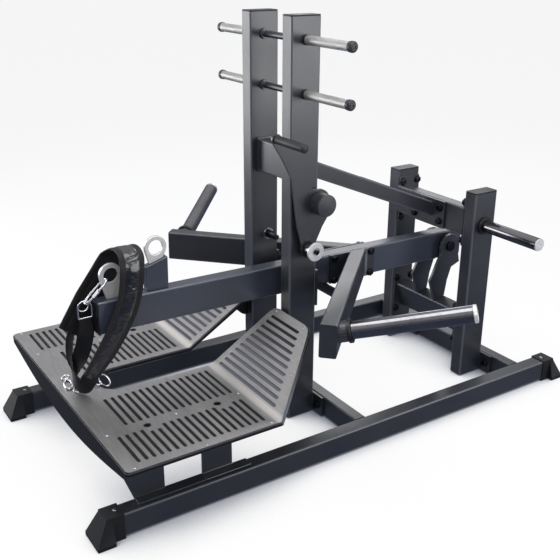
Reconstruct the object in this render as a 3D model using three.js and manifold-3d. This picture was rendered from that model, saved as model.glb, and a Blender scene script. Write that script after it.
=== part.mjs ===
// Belt squat machine with a plate-loaded lever, a stand-on platform and a lever lock.
// Millimetres. X runs from the platform end to the pivot end, +Y is the far side and +Z is up.
// The origin is on the floor in the middle of the machine's length and width.
import * as THREE from 'three';
import { mergeVertices } from 'three/addons/utils/BufferGeometryUtils.js';
import Module from 'manifold-3d';

// Clearances and modelling allowances
const fitGap = 0.3;
const overrun = 4;
const weldBite = 1.5;
const roundSegments = 20;
const cornerSegments = 1;
const plateArcSegments = 5;
const hexSegments = 6;
const padSteps = 36;
const strapSteps = 18;
const tailSteps = 14;

// Lengths along the base, one after the other from the front end to the rear end
const frontRailOverhang = 71;
const deckFlatLength = 455;
const deckBendToTower = 247;
const uprightDepth = 100;
const towerToRearUprights = 590.5;
const rearRailOverhang = 207.5;

// Base rails and their rubber feet
const railSpacing = 759;
const railWidth = 50;
const railHeight = 70;
const frameWall = 3;
const tubeCorner = 5;
const soleThickness = 5;
const footCapWall = 3;
const footCapLength = 51;
const toeLength = 33;
const toeLipLength = 50;
const toeLipHeight = 12;
const toeFlare = 18;

// Tubes across the base and the foot plates bolted to them
const crossTubeWidth = 40;
const footPlateThickness = 6;
const footPlateWing = 50;
const footPlateHeight = 67;
const boltHeadAcross = 19;
const boltHeadHeight = 8;

// Uprights
const uprightWidth = 50;
const towerGap = 172.8;
const towerHeight = 1269;
const rearUprightGap = 344;
const rearUprightHeight = 679.5;
const topCapThickness = 4;
const topCapPlug = 20;

// Tubes between the uprights, with the bolts' distance from the flanges' edges
const crossMemberDepth = 50;
const crossMemberHeight = 100;
const flangeThickness = 8;
const towerTubeBottomZ = 790;
const towerFlangeHeight = 150;
const towerFlangeInset = 3;
const towerBoltEdgeX = 15;
const towerBoltEdgeZ = 13;
const upperTubeFromTop = 59.5;
const rearFlangeInset = 5;
const rearBoltEdgeX = 10;
const rearBoltEdgeZ = 17;
const upperFlangeHeight = 170;
const upperFlangeDropZ = 3.5;
const lowerTubeOffsetX = 0.5;
const lowerTubeZ = 192;
const lowerTubeTilt = 17;
const lowerFlangeHeight = 160;
const braceSize = 50;
const braceUpperDrop = 5.4;
const braceLowerRise = 7;
const bracePlateWidth = 170;
const bracePlateHeight = 98;
const braceBoltEdgeY = 21;
const braceBoltEdgeZ = 25;

// Storage pegs: the upper pair hangs below the tower's top, and the lower pair's height is a share of the
// room between the tower's flanges and the upper pair
const upperPegFromTop = 68;
const lowerPegHeightShare = 0.4811;
const pegRodDiameter = 20;
const pegRodCollarDiameter = 32;
const pegRodCollarLength = 8;
const topPegDiameter = 27;
const topPegLength = 220;
const topPegBoreDepth = 40;
const topPegCollarDiameter = 30;
const topPegCollarLength = 8;
const topPegDomeDiameter = 31;
const topPegDomeLength = 16;
const topPegDomeTopDiameter = 20;
const rearPegAboveTube = 42;
const rearPegDiameter = 42;
const rearPegLength = 233;
const rearPegCollarDiameter = 60;
const rearPegCollarLength = 10;
const rearPegStudDiameter = 20;
const rearPegStudDepth = 40;
const rearPegEndHoleDiameter = 9;
const rearPegEndHoleDepth = 14;

// Pivot and its brackets
const pivotBehindUpright = 69.5;
const pivotBelowTube = 86;
const axleDiameter = 25;
const axleHeadDiameter = 38;
const axleHeadLength = 7;
const bearingFlangeDiameter = 60;
const bearingFlangeThickness = 14;
const bearingSleeveDiameter = 40;
const bearingSleeveDepth = 14;
const bearingToBracket = 2.7;
const bracketThickness = 10;
const bracketLobeRadius = 45;
const bracketLobeStartAngle = 200;
const bracketLobeEndAngle = -25;
const bracketFrontShares = [[-0.444, -0.621], [-0.379, -0.495], [-0.278, -0.263], [-0.212, -0.141]];
const bracketRearShares = [[0.273, -0.353], [0.076, -0.429], [-0.005, -0.677]];

// Lever, with the places of its fittings measured back from its nose
const leverNoseBehindDeckFront = 126;
const leverNoseTilt = 0.76;
const leverWidth = 50;
const leverHeight = 100;
const leverWall = 3;
const leverRear = 76;
const leverCapThickness = 4;
const leverCapPlug = 25;
const postFromNose = 156;
const postLength = 70;
const postThickness = 25;
const postFrontHeight = 75;
const postRearHeight = 97;
const ringThickness = 10;
const ringOuterRadius = 35;
const ringHoleRadius = 22.5;
const frontRingFromNose = 50;
const frontRingHeight = 69;
const frontRingFootWidth = 34;
const rearRingBehindPost = 36;
const rearRingAbovePost = 41.1;
const rearRingFootWidth = 44;

// Weight arms and loading sleeves
const armAngle = 45;
const armRootShare = 0.62879;
const armLength = 634;
const armWidth = 50;
const armHeight = 100;
const armFlangeAhead = 112;
const armFlangeLength = 186;
const armBoltEdgeX = 16.5;
const armBoltEdgeZ = 12;
const armVentAlong = 257;
const armVentDiameter = 8;
const sleeveFromArmEnd = 40;
const sleeveAboveCentre = 8;
const sleeveTilt = 14.5;
const sleeveDiameter = 50;
const sleeveWall = 4;
const sleeveLength = 338;
const sleeveEndThickness = 6;
const sleeveCollarDiameter = 68;
const sleeveCollarLength = 10;
const sleeveStubDiameter = 60;
const sleeveStubLength = 37;
const sleeveSpigotLength = 40;

// Rest that the lever lies on
const restBarFromTower = 113;
const restBarDepth = 19;
const restBarHeight = 26;
const restBarInset = 11.4;
const restPadWidth = 60;
const restPadThickness = 3;
const restPadInset = 2;
const restStrutInset = 26.6;
const restStrutThickness = 8;
const restStrutAbovePivot = 37;
const restStrutHeight = 26;
const restFlangeHeight = 120;
const restFlangeEdge = 1;
const restFlangeAbovePivot = 66;
const restBoltEdgeZ = 20;

// Hand lever of the lock, beside the near tall upright
const lockShaftOffset = 8;
const lockShaftZ = 591;
const lockShaftDiameter = 20;
const lockShaftReach = 6;
const lockDiscDiameter = 54;
const lockDiscThickness = 8;
const lockHubDiameter = 42;
const lockPlateStandoff = 14.6;
const lockPlateThickness = 8;
const lockHubLobeRadius = 30;
const lockBulgeRadius = 42;
const lockBulgeX = 30;
const lockBulgeZ = 142;
const lockTipRadius = 16;
const lockTipX = -120;
const lockTipZ = 350;
const lockHubReach = 28;
const lockHubArc = [165, 400];
const lockBulgeArc = [-50, 95];
const lockTipArc = [10, 215];
const lockNeckEdge = [[45.4, 64.7], [65.7, 93.7]];
const lockRearEdge = [[8.8, 185.8], [-8.1, 210.5], [-25.1, 247.2], [-45.5, 283.8], [-59.7, 313.8]];
const lockFrontEdge = [[-96.5, 283.3], [-68.7, 229.2], [-57.7, 158.9], [-44.4, 69.4], [-35.7, 35.5]];
const gripDiameter = 25;
const gripLength = 142;
const gripStudDiameter = 12;
const rollerDiameter = 68;
const rollerBoreDiameter = 16;
const rollerLength = 45;

// Platform: flat deck with a slot for the lever, and two raised rear wings
const deckTopZ = 243;
const deckWidth = 950;
const deckCorner = 12;
const slotHalfWidth = 69;
const slotFrontDepth = 112;
const treadThickness = 3;
const treadInset = 3;
const deckBaseThickness = 10;
const deckCutterReach = 60;
const wingTilt = 31;
const wingLength = 278;
const wingTopFromSide = 208;
const wingTopCorner = 24;
const apronThickness = 6;
const apronEndDepth = 12;
const apronMiddleDepth = 72;
const apronSteps = 16;

// Long holes in the tread
const cutWidth = 10.5;
const cutSpacing = 21.7;
const cutEndSegments = 2;
const cutFromBend = 35.5;
const cutSlotMargin = 29;
const cutSideMargin = 32;
const cutDividerShare = 0.5377;
const cutDividerWidth = 43;
const outerCutFrontMargin = 45;
const innerCutFrontMargin = 85;
const wingCutCount = 11;
const wingCutFromBend = 22.5;
const wingCutSpacing = 22;
const wingCutInnerMargin = 26;
const wingCutOuterMargin = 46;

// Round holes in the tread over the platform's four recessed bolts, and the long holes shortened beside them
const treadBoltHoleDiameter = 22;
const treadBoltFromFront = 140;
const treadBoltFromBend = 100;
const treadBoltPastDivider = 9;
const treadBoltAhead = 5;
const treadBoltBehind = 25;
const treadBoltShortening = 18;

// Stays between the tall uprights and the undersides of the raised wings, with a curved lower front edge
const stayAboveDeck = 47;
const stayHeight = 74;
const stayWidth = 26;
const stayInset = 0.4;
const stayCurve = [[-16.5, 0], [-27, 6], [-40, 20], [-52, 38]];
const stayCurveEnd = 52;

// Platform legs of bent sheet
const legThickness = 5;
const legWebInset = 22.5;
const legFootWidth = 34;
const frontLegFromDeckFront = 62;
const frontLegBottomLength = 89;
const rearLegShare = 0.51654;
const rearLegLength = 97;
const rearLegFootTail = 46;
const legTopFlange = 34;

// Belt, with its places measured from the middle of the D-ring and the D-ring's from the front eye
const dRingFromEyeX = -83.2;
const dRingFromEyeZ = -89;
const dRingWidth = 46;
const dRingHeight = 58;
const dRingRod = 8;
const hookRod = 10;
const hookWidth = 26;
const hookBend = 5;
const rodBevel = 0.25;
const beltWidth = 95;
const beltThickness = 13;
const archStartZ = 119;
const archLift = 2;
const beltStations = [
  [-20, -48, -194], [3, -50, -163], [43, -52, -111], [80, -54, -51], [108, -56, 9],
  [122, -58, 69], [126, -55, 119], [130, -38, 149], [132, 0, 159], [128, 38, 149],
  [110, 55, 119], [75, 58, 64], [35, 58, 4], [0, 56, -49], [-27, 53, -89],
];
const strapWidth = 48;
const strapThickness = 4;
const strapLead = 10;
const strapStations = [
  [-42, 45, -141], [-48, 25, -181], [-50, 0, -201], [-47, -24, -215], [-36, -42, -217],
];
const tailLead = 9;
const tailStations = [
  [-2, 0, -66], [-14, 2, -116], [-32, 6, -161], [-46, 4, -196],
];

// Places worked out from the sizes above
const machineLength = (
  frontRailOverhang + deckFlatLength + deckBendToTower + uprightDepth
  + towerToRearUprights + uprightDepth + rearRailOverhang
);
const deckFrontX = frontRailOverhang - machineLength / 2;
const deckBendX = deckFrontX + deckFlatLength;
const towerFrontX = deckBendX + deckBendToTower;
const towerRearX = towerFrontX + uprightDepth;
const towerCentreX = towerFrontX + uprightDepth / 2;
const rearUprightFrontX = towerRearX + towerToRearUprights;
const rearUprightRearX = rearUprightFrontX + uprightDepth;
const rearUprightCentreX = rearUprightFrontX + uprightDepth / 2;
const railCentreY = railSpacing / 2;
const railBottomZ = soleThickness;
const railTopZ = railBottomZ + railHeight;
const footCapEndX = machineLength / 2 - toeLength;
const railEndX = footCapEndX - footCapWall - fitGap;
const towerInnerY = towerGap / 2;
const towerOuterY = towerInnerY + uprightWidth;
const rearUprightInnerY = rearUprightGap / 2;
const rearUprightOuterY = rearUprightInnerY + uprightWidth;
const towerTubeCentreZ = towerTubeBottomZ + crossMemberHeight / 2;
const pegRoomBottomZ = towerTubeCentreZ + towerFlangeHeight / 2;
const upperPegZ = railBottomZ + towerHeight - upperPegFromTop;
const lowerPegZ = pegRoomBottomZ + lowerPegHeightShare * (upperPegZ - pegRoomBottomZ);
const upperTubeBottomZ = railBottomZ + rearUprightHeight - upperTubeFromTop - crossMemberHeight;
const upperTubeCentreZ = upperTubeBottomZ + crossMemberHeight / 2;
const rearPegZ = upperTubeBottomZ + rearPegAboveTube;
const lowerTubeX = rearUprightCentreX + lowerTubeOffsetX;
const pivotX = rearUprightFrontX + pivotBehindUpright;
const pivotZ = upperTubeBottomZ - pivotBelowTube;
const leverSideY = leverWidth / 2;
const leverTop = leverHeight / 2;
const bracketInnerY = leverSideY + fitGap + bearingFlangeThickness + bearingToBracket;
const leverFront = pivotX - deckFrontX - leverNoseBehindDeckFront;
const postFront = leverFront - postFromNose;
const frontRingAlong = leverFront - frontRingFromNose;
const rearRingAlong = postFront - rearRingBehindPost;
const armRootAlong = armRootShare * (pivotX - towerRearX);
const armFlangeFront = armRootAlong + armFlangeAhead;
const stayBottomZ = deckTopZ + stayAboveDeck;
const lockShaftX = towerCentreX + lockShaftOffset;
const legWebY = railCentreY - legWebInset;
const frontLegBottomX = deckFrontX + frontLegFromDeckFront;
const rearLegBottomX = frontLegBottomX + rearLegShare * (deckBendX - frontLegBottomX);
const radians = Math.PI / 180;
const sides = [['near', -1], ['far', 1]];

// Materials
const charcoal = 0x26282e;
const black = 0x141416;
const finish = (color, roughness, metalness) => new THREE.MeshStandardMaterial({ color, roughness, metalness });
const frameMetal = () => finish(charcoal, 0.5, 0.35);
const leverMetal = () => finish(0x2b2f38, 0.45, 0.35);
const plasticBlack = () => finish(black, 0.6, 0);
const rubberBlack = () => finish(0x101011, 0.85, 0);
const polishedChrome = () => finish(0xd8dadd, 0.15, 1);
const satinSteel = () => finish(0xa9aaac, 0.35, 1);
const blackFabric = () => finish(0x0d0d0f, 0.9, 0);

// Solid joins and cuts
const wasm = await Module();
wasm.setup();

function merge(geometry) {
  const bare = geometry.clone();
  bare.deleteAttribute('uv');
  bare.deleteAttribute('normal');
  return mergeVertices(bare);
}

function solidOf(geometry) {
  const merged = merge(geometry);
  const vertProperties = new Float32Array(merged.attributes.position.array);
  const triVerts = new Uint32Array(merged.index.array);
  return new wasm.Manifold(new wasm.Mesh({ numProp: 3, vertProperties, triVerts }));
}

function geometryOf(solid) {
  const mesh = solid.getMesh();
  const geometry = new THREE.BufferGeometry();
  geometry.setAttribute('position', new THREE.BufferAttribute(new Float32Array(mesh.vertProperties), 3));
  geometry.setIndex(new THREE.BufferAttribute(new Uint32Array(mesh.triVerts), 1));
  return geometry;
}

const join = (...geometries) => geometryOf(geometries.map(solidOf).reduce((a, b) => a.add(b)));
const cut = (geometry, ...tools) => (
  geometryOf(tools.map(solidOf).reduce((a, b) => a.subtract(b), solidOf(geometry)))
);
const common = (first, second) => geometryOf(solidOf(first).intersect(solidOf(second)));

// Reflects a piece to the other side and keeps its faces pointing out
function reflected(geometry, signX, signY) {
  const copy = merge(geometry).applyMatrix4(new THREE.Matrix4().makeScale(signX, signY, 1));
  if (signX * signY < 0) turnFaces(copy);
  return copy;
}

function turnFaces(geometry) {
  const index = Array.from(geometry.index.array);
  for (let i = 0; i < index.length; i += 3) [index[i + 1], index[i + 2]] = [index[i + 2], index[i + 1]];
  geometry.setIndex(index);
}

// Plain shapes
function block(minX, maxX, minY, maxY, minZ, maxZ) {
  const box = new THREE.BoxGeometry(maxX - minX, maxY - minY, maxZ - minZ);
  return box.translate((minX + maxX) / 2, (minY + maxY) / 2, (minZ + maxZ) / 2);
}

function roundedRectangle(width, height, corner) {
  const halfWidth = width / 2;
  const halfHeight = height / 2;
  const shape = new THREE.Shape();
  shape.absarc(halfWidth - corner, halfHeight - corner, corner, 0, Math.PI / 2);
  shape.absarc(corner - halfWidth, halfHeight - corner, corner, Math.PI / 2, Math.PI);
  shape.absarc(corner - halfWidth, corner - halfHeight, corner, Math.PI, 1.5 * Math.PI);
  shape.absarc(halfWidth - corner, corner - halfHeight, corner, 1.5 * Math.PI, 2 * Math.PI);
  return shape;
}

const extruded = (shape, depth, curveSegments = cornerSegments) => (
  new THREE.ExtrudeGeometry(shape, { depth, bevelEnabled: false, curveSegments })
);

// Square tube along +Z from zero, open at both ends
function squareTube(width, height, wall, length) {
  const shape = roundedRectangle(width, height, tubeCorner);
  shape.holes.push(roundedRectangle(width - 2 * wall, height - 2 * wall, tubeCorner - wall));
  return extruded(shape, length);
}

const roundedBar = (width, height, length) => extruded(roundedRectangle(width, height, tubeCorner), length);

// A section drawn in (width, height) turned so that it is (Y, Z) along +X
const alongX = (geometry) => geometry.applyMatrix4(new THREE.Matrix4().makeBasis(
  new THREE.Vector3(0, 1, 0), new THREE.Vector3(0, 0, 1), new THREE.Vector3(1, 0, 0),
));

// A section drawn in (width, height) turned so that it is (Z, X) along +Y
const alongY = (geometry) => geometry.applyMatrix4(new THREE.Matrix4().makeBasis(
  new THREE.Vector3(0, 0, 1), new THREE.Vector3(1, 0, 0), new THREE.Vector3(0, 1, 0),
));

// A shape drawn in (X, Z) as an upright plate between two Y values
function uprightPlate(shape, minY, maxY, curveSegments = plateArcSegments) {
  const plate = extruded(shape, maxY - minY, curveSegments).applyMatrix4(new THREE.Matrix4().makeBasis(
    new THREE.Vector3(1, 0, 0), new THREE.Vector3(0, 0, 1), new THREE.Vector3(0, -1, 0),
  ));
  return plate.translate(0, maxY, 0);
}

const polygon = (points) => new THREE.Shape(points.map(([x, y]) => new THREE.Vector2(x, y)));

// Round bar between two points
function roundBar(diameter, from, to, segments = roundSegments) {
  const start = new THREE.Vector3(...from);
  const end = new THREE.Vector3(...to);
  const length = start.distanceTo(end);
  const turn = new THREE.Quaternion().setFromUnitVectors(
    new THREE.Vector3(0, 1, 0), end.clone().sub(start).normalize(),
  );
  const bar = new THREE.CylinderGeometry(diameter / 2, diameter / 2, length, segments);
  return bar.translate(0, length / 2, 0).applyQuaternion(turn).translate(...from);
}

// Bolt head on a face, standing out along the given direction and biting into the face
function boltHead(x, y, z, directionX, directionY) {
  const across = boltHeadAcross / Math.cos(Math.PI / 6);
  const start = [x - directionX * weldBite, y - directionY * weldBite, z];
  const end = [x + directionX * boltHeadHeight, y + directionY * boltHeadHeight, z];
  return roundBar(across, start, end, hexSegments);
}

// Solid of revolution about the Y axis from (radius, along) points
function turnedBar(profile) {
  const points = profile.map(([radius, along]) => new THREE.Vector2(radius, along));
  return new THREE.LatheGeometry(points, roundSegments);
}

// Solid between a rectangle below and a rectangle above, each [minX, maxX, minY, maxY, z]
function taperedBlock(low, high) {
  const corners = [low, high].flatMap(([minX, maxX, minY, maxY, z]) => [
    [minX, minY, z], [maxX, minY, z], [maxX, maxY, z], [minX, maxY, z],
  ]);
  const geometry = new THREE.BufferGeometry();
  geometry.setAttribute('position', new THREE.Float32BufferAttribute(corners.flat(), 3));
  geometry.setIndex([
    0, 2, 1, 0, 3, 2, 4, 5, 6, 4, 6, 7, 0, 1, 5, 0, 5, 4,
    1, 2, 6, 1, 6, 5, 2, 3, 7, 2, 7, 6, 3, 0, 4, 3, 4, 7,
  ]);
  return geometry;
}

// Flat band along a smooth curve through the stations, flat side facing away from the centre point
function band(stations, width, thickness, steps, outwardAt) {
  const curve = new THREE.CatmullRomCurve3(stations.map((point) => new THREE.Vector3(...point)));
  const edge = thickness / 2;
  const section = [
    [-width / 2, -edge / 2], [-width / 2 + edge, -edge], [width / 2 - edge, -edge], [width / 2, -edge / 2],
    [width / 2, edge / 2], [width / 2 - edge, edge], [-width / 2 + edge, edge], [-width / 2, edge / 2],
  ];
  const positions = [];
  for (let step = 0; step <= steps; step += 1) {
    const point = curve.getPointAt(step / steps);
    const tangent = curve.getTangentAt(step / steps);
    const across = new THREE.Vector3().crossVectors(tangent, outwardAt(point, step / steps)).normalize();
    const outward = new THREE.Vector3().crossVectors(across, tangent).normalize();
    section.forEach(([alongWidth, alongOut]) => {
      const corner = point.clone().addScaledVector(across, alongWidth).addScaledVector(outward, alongOut);
      positions.push(corner.x, corner.y, corner.z);
    });
  }
  const count = section.length;
  const index = [];
  for (let step = 0; step < steps; step += 1) {
    for (let i = 0; i < count; i += 1) {
      const a = step * count + i;
      const b = step * count + ((i + 1) % count);
      index.push(a, a + count, b, b, a + count, b + count);
    }
  }
  const last = steps * count;
  for (let i = 1; i < count - 1; i += 1) {
    index.push(0, i, i + 1);
    index.push(last, last + i + 1, last + i);
  }
  const geometry = new THREE.BufferGeometry();
  geometry.setAttribute('position', new THREE.Float32BufferAttribute(positions, 3));
  geometry.setIndex(index);
  return outwardFacing(geometry);
}

// Flips a closed geometry whose volume comes out negative
function outwardFacing(geometry) {
  const position = geometry.attributes.position;
  const index = Array.from(geometry.index.array);
  const corner = (i) => new THREE.Vector3().fromBufferAttribute(position, index[i]);
  let volume = 0;
  for (let i = 0; i < index.length; i += 3) volume += corner(i).dot(corner(i + 1).cross(corner(i + 2)));
  if (volume < 0) turnFaces(geometry);
  return geometry;
}

// Assembly
const machine = new THREE.Group();
const lever = new THREE.Group();
lever.position.set(pivotX, 0, pivotZ);
lever.rotation.y = leverNoseTilt * radians;
machine.add(lever);

function addTo(parent, name, geometry, material) {
  const mesh = new THREE.Mesh(geometry, material);
  mesh.name = name;
  parent.add(mesh);
  return mesh;
}

// Base rail: a long tube on each side
function baseRail(signY) {
  const tube = alongX(squareTube(railWidth, railHeight, frameWall, 2 * railEndX));
  return tube.translate(-railEndX, signY * railCentreY, railBottomZ + railHeight / 2);
}

// Slip-over rubber foot with a flared toe, drawn at the far rear corner
function railFoot(signX, signY) {
  const outer = railWidth / 2 + footCapWall;
  const capTopZ = railTopZ + footCapWall;
  const sleeve = block(footCapEndX - footCapLength, footCapEndX, -outer, outer, 0, capTopZ);
  const lipStartX = machineLength / 2 - toeLipLength;
  const lipOuter = outer + toeFlare;
  const lip = block(lipStartX, machineLength / 2, -lipOuter, lipOuter, 0, toeLipHeight);
  const toe = taperedBlock(
    [lipStartX, machineLength / 2, -lipOuter, lipOuter, toeLipHeight - weldBite],
    [
      lipStartX, footCapEndX - footCapWall / 2, footCapWall / 2 - outer, outer - footCapWall / 2,
      capTopZ - weldBite,
    ],
  );
  const pocketHalf = railWidth / 2 + fitGap;
  const pocket = block(
    footCapEndX - footCapLength - overrun, footCapEndX - footCapWall,
    -pocketHalf, pocketHalf, railBottomZ - fitGap, railTopZ + fitGap,
  );
  return reflected(cut(join(sleeve, lip, toe), pocket).translate(0, railCentreY, 0), signX, signY);
}

// Tube across the base between the rails
function baseCrossTube(frontX) {
  const length = railSpacing - railWidth - 2 * fitGap;
  const tube = alongY(squareTube(railHeight, crossTubeWidth, frameWall, length));
  return tube.translate(frontX + crossTubeWidth / 2, -length / 2, railBottomZ + railHeight / 2);
}

// Upright tube with its foot plate on the rear face
function upright(frontX, innerY, height, signY) {
  const tube = squareTube(uprightDepth, uprightWidth, frameWall, height - topCapThickness - fitGap);
  const centreY = signY * (innerY + uprightWidth / 2);
  tube.translate(frontX + uprightDepth / 2, centreY, railBottomZ);
  const rearX = frontX + uprightDepth;
  const plateHalf = uprightWidth / 2 + footPlateWing;
  const plate = block(
    rearX - weldBite, rearX + footPlateThickness,
    centreY - plateHalf, centreY + plateHalf, railBottomZ, railBottomZ + footPlateHeight,
  );
  const boltOffset = uprightWidth / 2 + footPlateWing / 2;
  const bolts = [-boltOffset, boltOffset].map((offset) => (
    boltHead(rearX, centreY + offset, railBottomZ + footPlateHeight / 2, -1, 0)
  ));
  return join(tube, plate, ...bolts);
}

// Plastic cap in the top of an upright
function topCap(frontX, innerY, height, signY) {
  const topZ = railBottomZ + height;
  const plug = roundedBar(
    uprightDepth - 2 * frameWall - 2 * fitGap, uprightWidth - 2 * frameWall - 2 * fitGap, topCapPlug + weldBite,
  );
  plug.translate(0, 0, topZ - topCapThickness - topCapPlug);
  const plate = roundedBar(uprightDepth, uprightWidth, topCapThickness);
  plate.translate(0, 0, topZ - topCapThickness);
  const centreY = signY * (innerY + uprightWidth / 2);
  return join(plug, plate).translate(frontX + uprightDepth / 2, centreY, 0);
}

// Cross member with a bolted flange at each end and its bore open through them
function flangedCrossMember(length, sectionTurn, tubeX, tubeZ, flange) {
  const tube = alongY(roundedBar(crossMemberHeight, crossMemberDepth, length));
  const bore = alongY(roundedBar(
    crossMemberHeight - 2 * frameWall, crossMemberDepth - 2 * frameWall, length + 2 * overrun,
  ));
  tube.translate(0, -length / 2, 0).rotateY(sectionTurn * radians).translate(tubeX, 0, tubeZ);
  bore.translate(0, -length / 2 - overrun, 0).rotateY(sectionTurn * radians).translate(tubeX, 0, tubeZ);
  const pieces = [tube];
  for (const sign of [-1, 1]) {
    const outerY = sign * length / 2;
    const innerY = outerY - sign * flangeThickness;
    const minY = Math.min(outerY, innerY);
    const maxY = Math.max(outerY, innerY);
    const halfX = flange.width / 2;
    pieces.push(block(
      flange.x - halfX, flange.x + halfX, minY, maxY,
      flange.z - flange.height / 2, flange.z + flange.height / 2,
    ));
    for (const stepX of [-1, 1]) {
      for (const stepZ of [-1, 1]) {
        const boltX = flange.x + stepX * (halfX - flange.edgeX);
        const boltZ = flange.z + stepZ * (flange.height / 2 - flange.edgeZ);
        pieces.push(boltHead(boltX, innerY, boltZ, 0, -sign));
      }
    }
  }
  return cut(join(...pieces), bore);
}

function towerTube() {
  const flange = {
    x: towerCentreX, z: towerTubeCentreZ, width: uprightDepth - 2 * towerFlangeInset,
    height: towerFlangeHeight, edgeX: towerBoltEdgeX, edgeZ: towerBoltEdgeZ,
  };
  return flangedCrossMember(towerGap - 2 * fitGap, 0, towerCentreX, towerTubeCentreZ, flange);
}

function upperRearTube() {
  const flange = {
    x: rearUprightCentreX, z: upperTubeCentreZ - upperFlangeDropZ, width: uprightDepth - 2 * rearFlangeInset,
    height: upperFlangeHeight, edgeX: rearBoltEdgeX, edgeZ: rearBoltEdgeZ,
  };
  const tubeX = rearUprightFrontX + crossMemberDepth / 2;
  return flangedCrossMember(rearUprightGap - 2 * fitGap, 0, tubeX, upperTubeCentreZ, flange);
}

function lowerRearTube() {
  const flange = {
    x: rearUprightCentreX, z: lowerTubeZ, width: uprightDepth - 2 * rearFlangeInset,
    height: lowerFlangeHeight, edgeX: rearBoltEdgeX, edgeZ: rearBoltEdgeZ,
  };
  return flangedCrossMember(rearUprightGap - 2 * fitGap, -lowerTubeTilt, lowerTubeX, lowerTubeZ, flange);
}

// Sloping brace from the tower's cross tube down to the upper rear tube
function brace() {
  const upperX = towerCentreX + crossMemberDepth / 2 + fitGap;
  const lowerX = rearUprightFrontX - fitGap;
  const upperZ = towerTubeCentreZ - braceUpperDrop;
  const lowerZ = upperTubeCentreZ + braceLowerRise;
  const slope = Math.atan2(upperZ - lowerZ, lowerX - upperX);
  const length = (lowerX - upperX) / Math.cos(slope);
  const tube = alongX(squareTube(braceSize, braceSize, frameWall, length + 2 * braceSize));
  tube.translate(-braceSize, 0, 0).rotateY(slope).translate(upperX, 0, upperZ);
  const span = block(
    upperX, lowerX - flangeThickness / 2, -braceSize, braceSize,
    lowerZ - 2 * braceSize, upperZ + 2 * braceSize,
  );
  const plateFrontX = lowerX - flangeThickness;
  const plate = block(
    plateFrontX, lowerX, -bracePlateWidth / 2, bracePlateWidth / 2,
    upperTubeCentreZ - bracePlateHeight / 2, upperTubeCentreZ + bracePlateHeight / 2,
  );
  const bolts = [];
  for (const stepY of [-1, 1]) {
    for (const stepZ of [-1, 1]) {
      const boltY = stepY * (bracePlateWidth / 2 - braceBoltEdgeY);
      const boltZ = upperTubeCentreZ + stepZ * (bracePlateHeight / 2 - braceBoltEdgeZ);
      bolts.push(boltHead(plateFrontX, boltY, boltZ, -1, 0));
    }
  }
  return join(common(tube, span), plate, ...bolts);
}

// Rod through both tall uprights that carries a pair of storage pegs
function pegRod(z) {
  const reach = towerOuterY + topPegBoreDepth - fitGap;
  const pieces = [roundBar(pegRodDiameter, [towerCentreX, -reach, z], [towerCentreX, reach, z])];
  for (const sign of [-1, 1]) {
    const outerY = sign * (towerInnerY - fitGap);
    const innerY = outerY - sign * pegRodCollarLength;
    pieces.push(roundBar(pegRodCollarDiameter, [towerCentreX, innerY, z], [towerCentreX, outerY, z]));
  }
  return join(...pieces);
}

// Storage peg on the end of a peg rod, root at zero and running along +Y
function topPeg() {
  const shaft = topPegDiameter / 2;
  const collar = topPegCollarDiameter / 2;
  const dome = topPegDomeDiameter / 2;
  const bore = pegRodDiameter / 2 + fitGap;
  const domeStart = topPegLength - topPegDomeLength;
  return turnedBar([
    [0, topPegBoreDepth], [bore, topPegBoreDepth], [bore, 0], [collar, 0], [collar, topPegCollarLength],
    [shaft, topPegCollarLength], [shaft, domeStart], [dome, domeStart],
    [dome, topPegLength - topPegDomeLength / 2], [topPegDomeTopDiameter / 2, topPegLength], [0, topPegLength],
  ]);
}

// Threaded stud with a collar that carries a rear peg
function rearPegStud() {
  const stud = rearPegStudDiameter / 2;
  const collar = rearPegCollarDiameter / 2;
  return turnedBar([
    [0, -rearPegStudDepth / 2], [stud, -rearPegStudDepth / 2], [stud, fitGap], [collar, fitGap],
    [collar, rearPegCollarLength], [stud, rearPegCollarLength],
    [stud, rearPegCollarLength + rearPegStudDepth], [0, rearPegCollarLength + rearPegStudDepth],
  ]);
}

function rearPeg() {
  const start = rearPegCollarLength + fitGap;
  const bore = rearPegStudDiameter / 2 + fitGap;
  const boreEnd = rearPegCollarLength + rearPegStudDepth + fitGap;
  const radius = rearPegDiameter / 2;
  const endHole = rearPegEndHoleDiameter / 2;
  const end = start + rearPegLength;
  return turnedBar([
    [0, boreEnd], [bore, boreEnd], [bore, start], [radius, start], [radius, end],
    [endHole, end], [endHole, end - rearPegEndHoleDepth], [0, end - rearPegEndHoleDepth],
  ]);
}

// Pivot bracket between the tilted lower tube and the lever's axle
function pivotBracket(signY) {
  const turn = lowerTubeTilt * radians;
  const across = crossMemberDepth / 2;
  const up = crossMemberHeight / 2 + fitGap;
  const seat = (share) => [
    lowerTubeX + share * across * Math.cos(turn) - up * Math.sin(turn),
    lowerTubeZ + share * across * Math.sin(turn) + up * Math.cos(turn),
  ];
  const drop = pivotZ - lowerTubeZ - up;
  const scaled = ([shareX, shareZ]) => [pivotX + shareX * drop, pivotZ + shareZ * drop];
  const shape = new THREE.Shape();
  shape.moveTo(...seat(-1));
  bracketFrontShares.forEach((point) => shape.lineTo(...scaled(point)));
  shape.absarc(
    pivotX, pivotZ, bracketLobeRadius,
    bracketLobeStartAngle * radians, bracketLobeEndAngle * radians, true,
  );
  bracketRearShares.forEach((point) => shape.lineTo(...scaled(point)));
  shape.lineTo(...seat(1));
  const innerY = bracketInnerY;
  const plate = uprightPlate(shape, innerY, innerY + bracketThickness);
  const bore = roundBar(
    axleDiameter + 2 * fitGap,
    [pivotX, innerY - overrun, pivotZ], [pivotX, innerY + bracketThickness + overrun, pivotZ],
  );
  return reflected(cut(plate, bore), 1, signY);
}

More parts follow.
